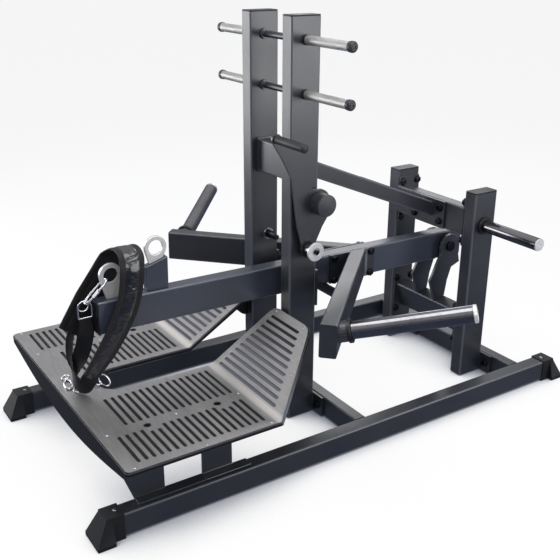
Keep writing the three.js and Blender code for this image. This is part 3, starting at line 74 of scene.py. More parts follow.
lens = bpy.data.cameras.new("studio_lens")
lens.sensor_width = sensor_width
lens.lens = sensor_width * focal_pixels / picture_width
camera = link_object("studio_camera", lens)
camera.matrix_world = Matrix((
    (right.x, up.x, -forward.x, camera_place.x),
    (right.y, up.y, -forward.y, camera_place.y),
    (right.z, up.z, -forward.z, camera_place.z),
    (0, 0, 0, 1),
))
bpy.context.scene.camera = camera
bpy.context.scene.view_settings.view_transform = "Standard"


def soft_box(name, place, target, size, power):
    lamp = bpy.data.lights.new(name, "AREA")
    lamp.shape = "RECTANGLE"
    lamp.size = size[0]
    lamp.size_y = size[1]
    lamp.energy = power
    aim = (Vector(target) - Vector(place)).to_track_quat("-Z", "Y")
    link_object(name, lamp).matrix_world = Matrix.Translation(place) @ aim.to_matrix().to_4x4()


soft_box("overhead_soft_box", (-0.3, -0.4, 3.4), (-0.1, 0.0, 0.4), (2.8, 2.2), 64)
soft_box("left_soft_box", (-2.1, 2.6, 1.0), (-0.1, 0.0, 0.9), (1.9, 1.7), 44)
soft_box("right_soft_box", (1.8, -2.9, 1.1), (0.1, -0.1, 0.9), (1.9, 1.5), 40)
soft_box("back_soft_box", (2.6, 2.6, 2.1), (0.6, -0.1, 0.5), (1.4, 1.0), 13)
soft_box("lens_fill", (-1.3, -3.6, 2.4), (-0.1, 0.0, 0.5), (1.6, 1.2), 30)


# sRGB hex colour to linear red, green, blue and alpha
def hex_colour(code):
    channels = [int(code[i:i + 2], 16) / 255 for i in (1, 3, 5)]
    linear = [c / 12.92 if c <= 0.04045 else ((c + 0.055) / 1.055) ** 2.4 for c in channels]
    return (*linear, 1.0)


# One node with its inputs and settings. An input is a value or the (node, socket) that feeds it, and a colour
# ramp takes stops of (position, hex colour).
def add_node(tree, kind, inputs=None, stops=(), **settings):
    node = tree.nodes.new("ShaderNode" + kind)
    for key, value in settings.items():
        setattr(node, key, value)
    for key, value in (inputs or {}).items():
        if isinstance(value, tuple) and isinstance(value[0], bpy.types.Node):
            tree.links.new(value[0].outputs[value[1]], node.inputs[key])
        else:
            node.inputs[key].default_value = value
    if stops:
        elements = node.color_ramp.elements
        while len(elements) < len(stops):
            elements.new(0.5)
        for element, (position, code) in zip(elements, stops):
            element.position = position
            element.color = hex_colour(code)
    return node


world = bpy.data.worlds.new("studio_surroundings")
bpy.context.scene.world = world
world.use_nodes = True
world.node_tree.nodes.clear()
add = partial(add_node, world.node_tree)
ray = add("LightPath")
direction = add("TexCoord")
height = add("SeparateXYZ", {0: (direction, "Generated")})
# What gloss sees: a pale floor line, a dark band of far wall, grey walls and a bright ceiling
gloss_ramp = add("ValToRGB", {0: (height, "Z")}, [
    (0.0, "#c4c6cc"), (0.05, "#8d8f97"), (0.14, "#74757c"), (0.28, "#9c9da3"), (0.44, "#c4c5ca"),
    (0.75, "#e8e8ea"),
])
ambient = add("Background", {0: hex_colour("#e8eaee"), 1: 0.31})
glossy_view = add("Background", {0: (gloss_ramp, "Color")})
white_view = add("Background", {0: (1, 1, 1, 1)})
with_gloss = add("MixShader", {0: (ray, "Is Glossy Ray"), 1: (ambient, 0), 2: (glossy_view, 0)})
with_camera = add("MixShader", {0: (ray, "Is Camera Ray"), 1: (with_gloss, 0), 2: (white_view, 0)})
add("OutputWorld", {0: (with_camera, 0)})


# An empty material and the function that adds a node to it
def new_material(name):
    material = bpy.data.materials.new(name)
    material.use_nodes = True
    material.node_tree.nodes.clear()
    return material, partial(add_node, material.node_tree)


# The camera sees white paper that darkens in the close shadow under the machine, and gloss sees it as cool grey
floor_paper, add = new_material("matt_white_studio_paper")
paper_ray = add("LightPath")
paper_lit = add("BsdfDiffuse", {"Color": (0.86, 0.86, 0.87, 1)})
paper_cover = add("AmbientOcclusion", {"Distance": 0.28}, samples=12)
paper_shade = add("ValToRGB", {0: (paper_cover, "AO")}, [
    (0.05, "#1d2029"), (0.35, "#7d808c"), (0.58, "#dcdde1"), (0.78, "#ffffff"),
])
paper_white = add("Emission", {"Color": (paper_shade, "Color"), "Strength": 1.04})
paper_grey = add("Emission", {"Color": hex_colour("#626a7e")})
paper_seen = add("Math", {0: (paper_ray, "Is Camera Ray"), 1: 0.85}, operation="MULTIPLY")
paper_camera = add("MixShader", {0: (paper_seen, 0), 1: (paper_lit, 0), 2: (paper_white, 0)})
paper_gloss = add("MixShader", {0: (paper_ray, "Is Glossy Ray"), 1: (paper_camera, 0), 2: (paper_grey, 0)})
add("OutputMaterial", {0: (paper_gloss, 0)})
bpy.ops.object.select_all(action="DESELECT")
bpy.ops.mesh.primitive_plane_add(size=60, location=(0, 0, 0))
floor = bpy.context.object
floor.name = "studio_floor"
floor.data.materials.append(floor_paper)


# Base rails: long 50 x 70 mm steel tubes, cut square and powder coated in charcoal. The coat is baked on from
# powder, so it has a faint orange-peel bump, a satin gloss that varies with the film and softly rounded edges.
def shaded(colour, factor, lift=0):
    return "#" + "".join(f"{min(255, round(int(colour[i:i + 2], 16) * factor + lift)):02x}" for i in (1, 3, 5))


def powder_coat(name, colour, roughness, specular=0.75, coat=0.3):
    material, add = new_material(name)
    place = (add("TexCoord"), "Object")
    # Orange peel about 2 mm across, coarse enough to show
    peel = add("TexNoise", {"Vector": place, "Scale": 480.0, "Detail": 2.0})
    # Slow change of the film over about 200 mm
    film = add("TexNoise", {"Vector": place, "Scale": 5.0, "Detail": 4.0})
    # Dust specks of about 1.5 mm and faint scuffs drawn out along the floor
    specks = add("TexVoronoi", {"Vector": place, "Scale": 90.0})
    speck_mask = add("MapRange", {
        "Value": (specks, "Distance"), "From Min": 0.05, "From Max": 0.09, "To Min": 0.22, "To Max": 0.0,
    })
    stretch = add("Mapping", {"Vector": place, "Scale": (3, 14, 40)})
    scuffs = add("TexNoise", {"Vector": (stretch, "Vector"), "Scale": 9.0, "Detail": 5.0, "Roughness": 0.7})
    scuff_mask = add("MapRange", {
        "Value": (scuffs, "Fac"), "From Min": 0.6, "From Max": 0.78, "To Min": 0.0, "To Max": 0.1,
    })
    sheen = add("MapRange", {
        "Value": (film, "Fac"), "From Min": 0.3, "From Max": 0.7, "To Min": roughness - 0.05,
        "To Max": roughness + 0.05,
    })
    rough = add("Math", {0: (sheen, "Result"), 1: (scuff_mask, "Result")}, operation="ADD")
    tint = add("ValToRGB", {0: (film, "Fac")}, [
        (0.3, shaded(colour, 0.93)), (0.7, shaded(colour, 1.07)),
    ])
    dusty = add("Mix", {
        "Factor": (speck_mask, "Result"), "A": (tint, "Color"), "B": hex_colour("#777a82"),
    }, data_type="RGBA")
    # The rounded edges, where the shaded normal leaves the face's own, are painted paler: a painted highlight
    # along the edges
    faces = add("NewGeometry")
    agreement = add("VectorMath", {
        0: (faces, "Normal"), 1: (faces, "True Normal"),
    }, operation="DOT_PRODUCT")
    painted_edge_highlight_mask = add("MapRange", {
        "Value": (agreement, "Value"), "From Min": 0.999, "From Max": 0.96, "To Min": 0.0, "To Max": 0.85,
    })
    dusty_with_edge_highlight = add("Mix", {
        "Factor": (painted_edge_highlight_mask, "Result"), "A": (dusty, "Result"), "B": hex_colour("#6d707a"),
    }, data_type="RGBA")
    bump = add("Bump", {"Height": (peel, "Fac"), "Strength": 0.14, "Distance": 0.0004})
    paint = add("BsdfPrincipled", {
        "Base Color": (dusty_with_edge_highlight, "Result"), "Roughness": (rough, "Value"), "Normal": (bump, "Normal"),
        "IOR": 1.5, "Specular IOR Level": specular, "Coat Weight": coat, "Coat Roughness": 0.22,
    })
    add("OutputMaterial", {0: (paint, 0)})
    return material


charcoal_coat = powder_coat("charcoal_powder_coat_on_steel", "#25272e", 0.38)


def make_active(piece):
    bpy.ops.object.select_all(action="DESELECT")
    piece.select_set(True)
    bpy.context.view_layer.objects.active = piece


def apply_modifiers(piece):
    make_active(piece)
    for modifier in list(piece.modifiers):
        bpy.ops.object.modifier_apply(modifier=modifier.name)


# Opens a piece in edit mode, all selected
def edit_whole(piece):
    make_active(piece)
    bpy.ops.object.mode_set(mode="EDIT")
    bpy.ops.mesh.select_all(action="SELECT")


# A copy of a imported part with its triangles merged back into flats
def merged_copy(node, material):
    piece = link_object(node + "_finished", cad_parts[node].data.copy())
    piece.data.materials.clear()
    piece.data.materials.append(material)
    edit_whole(piece)
    bpy.ops.mesh.select_mode(type="EDGE")
    bpy.ops.mesh.remove_doubles(threshold=0.00002)
    bpy.ops.mesh.dissolve_limited(angle_limit=radians(0.6))
    bpy.ops.mesh.select_all(action="DESELECT")
    bpy.ops.object.mode_set(mode="OBJECT")
    return piece


# Its square edges are rounded over. The tubes' corners, cut at 45 degrees, are shaded round.
def finished(
    node, material=charcoal_coat, body="frame", edge=0.0012, steps=2, smooth=50, piece=None,
):
    piece = piece or merged_copy(node, material)
    rounding = piece.modifiers.new("rounded_edges", "BEVEL")
    rounding.width = edge
    rounding.segments = steps
    rounding.limit_method = "ANGLE"
    rounding.angle_limit = radians(52)
    flats = piece.modifiers.new("flat_faces", "WEIGHTED_NORMAL")
    flats.keep_sharp = True
    flats.weight = 95
    make_active(piece)
    bpy.ops.object.shade_smooth_by_angle(angle=radians(smooth))
    apply_modifiers(piece)
    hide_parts(node)
    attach(piece, body)
    return piece


sides = (("near", -1), ("far", 1))
for side, sign in sides:
    finished(f"base_rail_{side}")
for node in ("front_cross_tube", "rear_cross_tube"):
    finished(node)


# Feet: slip-over boots moulded in black rubber with flared toes, each held from above by one zinc-plated
# pan-head screw.
def moulded_black(name, colour, roughness, grain_mm):
    material, add = new_material(name)
    place = (add("TexCoord"), "Object")
    grain = add("TexNoise", {"Vector": place, "Scale": 1000 / grain_mm, "Detail": 3.0})
    patches = add("TexNoise", {"Vector": place, "Scale": 18.0, "Detail": 5.0})
    gloss = add("MapRange", {
        "Value": (patches, "Fac"), "From Min": 0.3, "From Max": 0.7, "To Min": roughness - 0.07,
        "To Max": roughness + 0.07,
    })
    dusted = add("ValToRGB", {0: (patches, "Fac")}, [(0.35, colour), (0.75, shaded(colour, 1.3, 2))])
    bump = add("Bump", {"Height": (grain, "Fac"), "Strength": 0.25, "Distance": 0.0003})
    plastic = add("BsdfPrincipled", {
        "Base Color": (dusted, "Color"), "Roughness": (gloss, "Result"), "Normal": (bump, "Normal"),
        "IOR": 1.5,
    })
    add("OutputMaterial", {0: (plastic, 0)})
    return material


# Metal with a bright surface: fine lines drawn along the stretch, and slow stains in its gloss
def bright_metal(
    name, colour, roughness, scratch_mm=1.0, stretch=(1, 1, 1), line_bump=0.0, line_depth=0.25, metallic=1.0,
):
    material, add = new_material(name)
    place = (add("TexCoord"), "Object")
    turn = add("Mapping", {"Vector": place, "Scale": stretch})
    lines = add("TexNoise", {"Vector": (turn, "Vector"), "Scale": 1000 / scratch_mm, "Detail": 4.0})
    stains = add("TexNoise", {"Vector": place, "Scale": 12.0, "Detail": 5.0})
    both = add("Mix", {"Factor": 0.5, "A": (lines, "Fac"), "B": (stains, "Fac")})
    gloss = add("MapRange", {
        "Value": (both, "Result"), "From Min": 0.35, "From Max": 0.65, "To Min": roughness * 0.7,
        "To Max": roughness * 1.3,
    })
    dark = shaded(colour, 1 - line_depth)
    tint = add("ValToRGB", {0: (both, "Result")}, [(0.36, dark), (0.56, colour)])
    surface = {"Base Color": (tint, "Color"), "Roughness": (gloss, "Result"), "Metallic": metallic}
    if line_bump:
        bump = add("Bump", {"Height": (lines, "Fac"), "Strength": line_bump, "Distance": 0.0002})
        surface["Normal"] = (bump, "Normal")
    metal = add("BsdfPrincipled", surface)
    add("OutputMaterial", {0: (metal, 0)})
    return material


foot_rubber = moulded_black("black_moulded_rubber", "#0b0c0f", 0.55, 1.2)
zinc_plate = bright_metal("zinc_plated_steel", "#c9cbcf", 0.28)


def turn_to(heading):
    return Vector((0, 0, 1)).rotation_difference(Vector(heading)).to_matrix().to_4x4()


# Turns the faces of the piece in edit mode outward and leaves edit mode
def close_outward():
    bpy.ops.mesh.select_all(action="SELECT")
    bpy.ops.mesh.normals_make_consistent(inside=False)
    bpy.ops.object.mode_set(mode="OBJECT")


# A turned piece grown ring by ring from a circle: rings are (radius, distance along) in millimetres, closed at
# both ends
def turned(name, rings, start, heading, material, body=None, slot=None, replaces=None, segments=64, smooth=32):
    rings = [(radius / 1000, along / 1000) for radius, along in rings]
    radius, along = rings[0]
    bpy.ops.object.select_all(action="DESELECT")
    bpy.ops.mesh.primitive_circle_add(
        vertices=segments, radius=radius, fill_type="NGON", location=(0, 0, along),
    )
    piece = bpy.context.object
    piece.name = name
    bpy.ops.object.transform_apply(location=True, rotation=True, scale=True)
    edit_whole(piece)
    for next_radius, next_along in rings[1:]:
        bpy.ops.mesh.extrude_region_move(TRANSFORM_OT_translate={"value": (0, 0, next_along - along)})
        grow = next_radius / radius
        bpy.ops.transform.resize(value=(grow, grow, 1), center_override=(0, 0, next_along))
        radius, along = next_radius, next_along
    close_outward()
    bpy.ops.object.shade_smooth_by_angle(angle=radians(smooth))
    piece.matrix_world = Matrix.Translation(start) @ turn_to(heading)
    bpy.ops.object.transform_apply(location=True, rotation=True, scale=True)
    piece.data.materials.append(material)
    if replaces:
        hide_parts(replaces)
    if body:
        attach(piece, body)
    return piece


def joined(name, pieces, body):
    bpy.ops.object.select_all(action="DESELECT")
    for piece in pieces:
        piece.select_set(True)
    bpy.context.view_layer.objects.active = pieces[0]
    bpy.ops.object.join()
    whole = bpy.context.object
    whole.name = name
    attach(whole, body)
    return whole


foot_screw_along = 0.818
for end, end_sign in (("front", -1), ("rear", 1)):
    for side, sign in sides:
        node = f"rail_foot_{end}_{side}"
        finished(node, foot_rubber, edge=0.003, steps=3)
        low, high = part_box(f"base_rail_{side}")
        boot_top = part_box(node)[1].z
        turned(
            node + "_screw", [(5.8, -0.8), (5.8, 1), (5, 2.6), (3, 3.4), (2.6, 2.2), (0.4, 2.2)],
            (end_sign * foot_screw_along, (low.y + high.y) / 2, boot_top), (0, 0, 1), zinc_plate, "frame",
            "satin_steel", segments=24,
        )


# Tower and rear uprights: 100 x 50 mm tube with a welded foot plate bolted to the base, and a pressed-in cap
# moulded in black nylon.
nylon_cap = moulded_black("black_moulded_nylon", "#17181b", 0.4, 0.8)
for side, sign in sides:
    for upright in ("tall_upright", "rear_upright"):
        finished(f"{upright}_{side}")
        finished(f"{upright}_cap_{side}", nylon_cap, edge=0.002, steps=3)
for node in ("upper_rear_tube", "lower_rear_tube", "brace_tube", "lever_rest"):
    finished(node, edge=0.001)

# The tower's cross tube ends in a shallow flange, 5 mm proud of the tube all round, as the photograph shows
tower_x, tower_tube_z = -0.0625, 0.840
tube_cut_y = 0.069
tube_growth = (0.0092, 0.0001, 0.0078)
flange_y = tube_cut_y + tube_growth[0] + tube_growth[1]
tower_tube = merged_copy("tall_cross_tube", charcoal_coat)
edit_whole(tower_tube)
for sign in (-1, 1):
    bpy.ops.mesh.select_all(action="SELECT")
    bpy.ops.mesh.bisect(
        plane_co=(0, sign * tube_cut_y, 0), plane_no=(0, sign, 0), clear_outer=True, use_fill=True,
    )
    for step, growth in enumerate(tube_growth):
        bpy.ops.mesh.extrude_region_move(TRANSFORM_OT_translate={"value": (0, sign * growth, 0)})
        if step == 1:
            middle = (tower_x, sign * flange_y, tower_tube_z)
            bpy.ops.transform.resize(value=(1.2, 1, 1.1), center_override=middle)
bpy.ops.mesh.select_all(action="DESELECT")
bpy.ops.object.mode_set(mode="OBJECT")
finished("tall_cross_tube", edge=0.001, piece=tower_tube)


# Bolts: M12 hex heads with chamfered corners bear on plain washers, all in black oxide. Two or four of them hold
# each flange of the frame, and four each weight arm.
black_oxide = bright_metal("black_oxide_steel", "#3a3b40", 0.34)


# The mesh of a turned piece, for copies that are set in many places
def turned_mesh(name, rings, material, **shape):
    model = turned(name, rings, (0, 0, 0), (0, 0, 1), material, **shape)
    mesh = model.data.copy()
    bpy.data.objects.remove(model)
    return mesh


bolt_parts = (
    turned_mesh(
        "bolt_washer_model", [(13.1, 0), (13.8, 0.6), (13.8, 1.8), (13.1, 2.4), (10.5, 2.6)], black_oxide,
        segments=28,
    ),
    turned_mesh(
        "bolt_head_model", [(12.8, 2.2), (12.8, 7.8), (11.2, 9.2), (8.5, 9.6), (7.8, 9.2)], black_oxide,
        segments=6, smooth=20,
    ),
)


def bolts(name, places, heading, body="frame", turn_into=Matrix.Identity(4)):
    pieces = []
    for place in places:
        for part in bolt_parts:
            mesh = part.copy()
            mesh.transform(turn_into @ Matrix.Translation(place) @ turn_to(heading))
            pieces.append(link_object(name, mesh))
    joined(name, pieces, body)


def corners(centre, half_x, half_z):
    return [(centre[0] + i * half_x, centre[1], centre[2] + j * half_z) for i in (-1, 1) for j in (-1, 1)]


rear_x = 0.628
rear_flange_y = 0.1637
foot_bolt_z = 0.0385
for side, sign in sides:
    for level, flange_z, half_z in (("upper", 0.5715, 0.068), ("lower", 0.192, 0.063)):
        places = corners((rear_x, sign * rear_flange_y, flange_z), 0.035, half_z)
        bolts(f"{level}_tube_bolts_{side}", places, (0, -sign, 0))
    bolts(f"brace_plate_bolts_{side}", [(0.5697, sign * 0.064, z) for z in (0.551, 0.599)], (-1, 0, 0))
    for upright, face_x, upright_y in (("tall", -0.014, 0.1114), ("rear", 0.6765, 0.197)):
        places = [(face_x, sign * upright_y + y, foot_bolt_z) for y in (-0.05, 0.05)]
        bolts(f"{upright}_foot_bolts_{side}", places, (-1, 0, 0))
    bolts(f"rest_bolts_{side}", [(-0.0042, sign * 0.1029, z) for z in (0.405, 0.485)], (1, 0, 0))


# Guide bolt: one blacked bolt and nut with a zinc-plated washer stand on the far tall upright's inner face, beside
# the lever's path.
guide_root = (-0.0490, 0.0863, 0.572)
turned(
    "guide_bolt_washer", [(18.2, 0), (19, 0.6), (19, 2.2), (18.2, 2.8)], guide_root, (0, -1, 0), zinc_plate,
    "frame", "satin_steel", segments=40,
)
turned(
    "guide_bolt_nut", [(14.2, 2.7), (15, 3.6), (15, 14.2), (14, 15)], guide_root, (0, -1, 0), black_oxide,
    "frame", "frame_paint", segments=6, smooth=20,
)
thread = [(8.4, 14.8)]
for turn_count in range(13):
    thread += [(9, 16.6 + turn_count * 2.2), (8.3, 17.7 + turn_count * 2.2)]
turned(
    "guide_bolt_shank", thread + [(8.8, 46.2), (8.8, 52), (7.4, 53.6)], guide_root, (0, -1, 0), black_oxide,
    "frame", "frame_paint", segments=32, smooth=40,
)


# Storage pegs: 27 mm bright-drawn steel with a black collar at the root and a domed end cap that one socket
# screw holds on. Their rod runs through both tall uprights.
drawn_steel = bright_metal(
    "bright_drawn_steel", "#c2c0bf", 0.5, scratch_mm=1.5, stretch=(1, 0.04, 1), line_bump=0.1, line_depth=0.1,
    metallic=0.7,
)
slate_nylon = moulded_black("slate_moulded_nylon", "#2b2d34", 0.42, 0.8)


# Rings given by their distance back from an end
def from_end(end, rings):
    return [(radius, end - back) for radius, back in rings]


peg_root_y = 0.1367
peg_length = 220
for level, peg_z in (("upper", 1.206), ("lower", 1.055)):
    finished(f"peg_rod_{level}", edge=0.0008)
    for side, sign in sides:
        root = (tower_x, sign * peg_root_y, peg_z)
        heading = (0, sign, 0)
        node = f"peg_{level}_{side}"
        turned(
            node + "_bar", [(11.5, 6), (13.5, 7.5), (13.5, peg_length - 18), (12, peg_length - 16)], root,
            heading, drawn_steel, "frame", "satin_steel", replaces=node,
        )
        turned(
            node + "_collar", [(13.5, 0), (14.8, 1.2), (14.8, 6.8), (13.8, 8)], root, heading, nylon_cap,
            "frame", "black_plastic",
        )
        turned(
            node + "_end_cap",
            from_end(peg_length, [
                (13.8, 19), (15.2, 17.5), (15.5, 8.5), (15, 6.2), (13.6, 5.8), (12.8, 3.2), (10.5, 1.2),
                (8.8, 1), (8.2, 1.9), (6.8, 1.9), (6.2, 0.6), (4.2, 0.4), (3.8, 3), (0.4, 3),
            ]),
            root, heading, slate_nylon, "frame", "black_plastic", smooth=38,
        )


# Rear storage pegs: 42 mm chromed tube on a stud, closed by a silver disc with a small hole, behind a black
# collar.
chrome = bright_metal(
    "hard_chrome_plate", "#807f83", 0.12, scratch_mm=2.5, stretch=(0.5, 0.05, 0.5), line_depth=0.12,
)
silver_lacquer = bright_metal(
    "silver_lacquered_steel", "#e4e3e3", 0.34, scratch_mm=1.2, line_depth=0.06, metallic=0.45,
)
rear_outer_y, rear_peg_z = 0.222, 0.567
for side, sign in sides:
    root = (rear_x, sign * rear_outer_y, rear_peg_z)
    heading = (0, sign, 0)
    turned(
        f"rear_peg_{side}_tube", [(19, 10.4), (21, 11.8), (21, 239.2), (20.4, 239.8)], root, heading,
        chrome, "frame", "chrome", replaces=f"rear_peg_{side}",
    )
    turned(
        f"rear_peg_{side}_end_disc",
        [(20.4, 239.9), (21, 240.3), (21, 241.9), (20.2, 243.1), (5.2, 243.3), (4.6, 241.9), (4.2, 240.8),
         (0.4, 240.6)],
        root, heading, silver_lacquer, "frame", "chrome",
    )
    turned(
        f"rear_peg_{side}_collar", [(28.5, 0.3), (30, 1.8), (30, 8.5), (28.5, 10), (22.5, 10.2)], root,
        heading, nylon_cap, "frame", "frame_paint", replaces=f"rear_peg_stud_{side}",
    )


# Pivot: laser-cut plates welded to the slanting tube carry the axle, and flanged bearings sit in the lever. The
# plates are coated with the frame, and the bearings are moulded in black nylon.
for side, sign in sides:
    finished(f"pivot_bracket_{side}", edge=0.001)
    finished(f"pivot_bearing_{side}", nylon_cap, "lever", edge=0.0015)
finished("pivot_axle", black_oxide, edge=0.001)


# Lever: a long 100 x 50 mm tube, powder coated in black and closed by a moulded cap. Its coat is painted lighter
# and bluer than the frame's, as painted light for the cool light on its sides. The post is welded on top, and
# the weight arms are bolted to the sides.
lever_coat_painted_lighter_bluer = powder_coat("lever_powder_coat_painted_lighter_bluer", "#373c4a", 0.33)
pivot = Vector((0.6475, 0, 0.439))
lever_side_y = 0.0333
lever_turn = Matrix.Translation(pivot) @ Matrix.Rotation(radians(0.76), 4, "Y")
finished("lever_tube", lever_coat_painted_lighter_bluer, "lever")
finished("lever_front_cap", nylon_cap, "lever", edge=0.0016, steps=3)
finished("eye_post", lever_coat_painted_lighter_bluer, "lever", edge=0.002, steps=3)
for side, sign in sides:
    finished(f"weight_arm_{side}", body="lever", edge=0.001)
    bolts(
        f"weight_arm_bolts_{side}", corners((-0.434, sign * lever_side_y, 0), 0.0765, 0.038), (0, sign, 0),
        "lever", lever_turn,
    )


# Lifting eyes: 10 mm steel plate, laser cut and lacquered in bright silver. One is welded to the lever's nose
# and one to its post.
for node in ("eye_ring_front", "eye_ring_rear"):
    finished(node, silver_lacquer, "lever", edge=0.0022, steps=3)


# Loading sleeves: 50 mm chromed tube pushed over the arm's spigot against a stepped black collar, with a bright
# ring pressed on at the open end.
arm_turn = radians(45)
sleeve_tilt = radians(14.5)
sleeve_along_arm = 0.594
sleeve_root = 62.3
sleeve_end = sleeve_root + 338
reach_x, reach_y = sleeve_along_arm * cos(arm_turn), sleeve_along_arm * sin(arm_turn)
for side, sign in sides:
    level_part = cos(sleeve_tilt)
    outward = Vector((
        level_part * sin(arm_turn), sign * level_part * cos(arm_turn), sin(sleeve_tilt),
    ))
    start = lever_turn @ Vector((-0.415 - reach_x, sign * (lever_side_y + reach_y), 0.008))
    heading = (lever_turn.to_3x3() @ outward).normalized()
    turned(
        f"loading_sleeve_{side}_tube",
        [(23.5, sleeve_root), (25, sleeve_root + 1.2), (25, sleeve_end - 10.5), (24.2, sleeve_end - 10)],
        start, heading, chrome, "lever", "chrome", replaces=f"loading_sleeve_{side}", segments=96,
    )
    turned(
        f"loading_sleeve_{side}_end_ring",
        from_end(sleeve_end, [
            (24.2, 9.9), (25, 9.3), (25, 2.2), (24.3, 0.6), (23, 0), (21, 0), (20.3, 1.4), (0.4, 1.4),
        ]),
        start, heading, silver_lacquer, "lever", "chrome", segments=96,
    )
    turned(
        f"loading_sleeve_{side}_collar",
        from_end(sleeve_root, [(33.5, 10.6), (34.6, 9.6), (34.6, 1.2), (33.6, 0.1), (26.2, 0.1)]),
        start, heading, nylon_cap, "lever", "black_plastic", segments=72,
    )


# Rest pad: a block moulded in black rubber and bonded to the top of the rest bar. The lever comes down on it
# when nobody lifts it.
finished("lever_rest_pad", foot_rubber, edge=0.0008)


# Hand lock: an 8 mm plate on a hub, swung by a rubber grip, with a bolted chrome disc over its shaft and a
# black roller. The plate's cut edge is painted paler by the coat's edge mask, a painted highlight.
finished("lock_lever", body="lock", edge=0.001)
lock_x, lock_z = -0.0545, 0.591
disc_inner_y, plate_outer_y = -0.1864, -0.1589
turned(
    "lock_shaft_disc", [(27.8, 0), (29.2, 1.2), (29.2, 6.6), (27.9, 8), (13.5, 8.2), (10, 5.2), (8.5, 5)],
    (lock_x, disc_inner_y, lock_z), (0, -1, 0), silver_lacquer, "lock", "chrome", replaces="lock_shaft",
    segments=96,
)
turned(
    "lock_shaft_bolt", [(7.8, 4.8), (7.8, 13.6), (7, 14.6), (4.4, 14.8), (4.2, 10.5), (0.4, 10.5)],
    (lock_x, disc_inner_y, lock_z), (0, -1, 0), black_oxide, "lock", "frame_paint", segments=32,
)
turned(
    "lock_hub_sleeve", [(24.8, 0), (25.6, 0.8), (25.6, 17.2), (24.8, 18)], (lock_x, -0.1682, lock_z),
    (0, -1, 0), chrome, "lock", "satin_steel", segments=72,
)
grip_rubber = moulded_black("smooth_grip_rubber", "#1d1d1f", 0.5, 0.9)
turned(
    "lock_grip_sleeve",
    [(9.8, 0), (11.8, 0.8), (12.5, 2.6), (12.5, 4), (12.1, 4.8), (12.1, 6), (12.5, 6.8), (12.5, 137.2),
     (12, 139.2), (10.8, 140.8), (8.5, 141.7), (0.4, 142)],
    (-0.1745, plate_outer_y, 0.941), (0, -1, 0), grip_rubber, "lock", "black_rubber", replaces="lock_grip",
    segments=48,
)
roller_rubber = moulded_black("slate_moulded_roller", "#303136", 0.46, 1.0)
turned(
    "lock_roller_body", [(8.2, 0), (32.2, 0), (34, 1.6), (34, 43.4), (33.2, 44.6), (32.2, 45), (0.4, 45.1)],
    (-0.0245, plate_outer_y, 0.733), (0, -1, 0), roller_rubber, "lock", "black_rubber", replaces="lock_roller",
    segments=72,
)


# Platform: a 3 mm stainless tread, laser cut with rows of long slots and brushed across the machine, riveted
# over a black folded base on four bent-sheet legs.
fold_x = -0.3595
brushed_stainless, add = new_material("brushed_stainless_sheet")
place = (add("TexCoord"), "Object")
# The brushing's lines are drawn 1 mm wide, coarser than real so that they show
brush_turn = add("Mapping", {"Vector": place, "Scale": (1, 0.02, 1)})
brushing = add("TexNoise", {
    "Vector": (brush_turn, "Vector"), "Scale": 900.0, "Detail": 4.0, "Roughness": 0.65,
})
# Shoe marks and handling make it duller in slow bands
band_turn = add("Mapping", {"Vector": place, "Scale": (1, 0.25, 1)})
bands = add("TexNoise", {"Vector": (band_turn, "Vector"), "Scale": 14.0, "Detail": 5.0})
along = add("SeparateXYZ", {0: place})
from_fold = add("Math", {0: (along, "X"), 1: fold_x}, operation="SUBTRACT")
fold_reach = add("Math", {0: (from_fold, "Value")}, operation="ABSOLUTE")
# A paler strip is painted along the fold: a painted highlight where the bend catches the light
fold_highlight_mask = add("MapRange", {"Value": (fold_reach, "Value"), "From Min": 0.016, "From Max": 0.006})
sheet_tint = add("ValToRGB", {0: (brushing, "Fac")}, [(0.3, "#989696"), (0.7, "#bfbdbc")])
sheet_tint_and_fold_highlight = add("Mix", {
    "Factor": (fold_highlight_mask, "Result"), "A": (sheet_tint, "Color"), "B": hex_colour("#d8d4d0"),
}, data_type="RGBA")
sheet_gloss = add("MapRange", {
    "Value": (bands, "Fac"), "From Min": 0.3, "From Max": 0.7, "To Min": 0.36, "To Max": 0.46,
})
sheet_bump = add("Bump", {"Height": (brushing, "Fac"), "Strength": 0.12, "Distance": 0.0002})
sheet = add("BsdfPrincipled", {
    "Base Color": (sheet_tint_and_fold_highlight, "Result"), "Roughness": (sheet_gloss, "Result"),
    "Normal": (sheet_bump, "Normal"), "Metallic": 1.0,
})
add("OutputMaterial", {0: (sheet, 0)})
finished("deck_tread", brushed_stainless, edge=0.0005, steps=1, smooth=35)
# The folded base is black paint, darkened further as painted shade for the shadow it sits in under the tread
deck_coat_black_and_painted_shade = powder_coat("black_powder_coat_on_steel", "#0e0f13", 0.55, specular=0.3, coat=0.0)
finished("deck_base", deck_coat_black_and_painted_shade, edge=0.001)
for side, sign in sides:
    for end in ("front", "rear"):
        finished(f"deck_leg_{end}_{side}", edge=0.0026, steps=3)

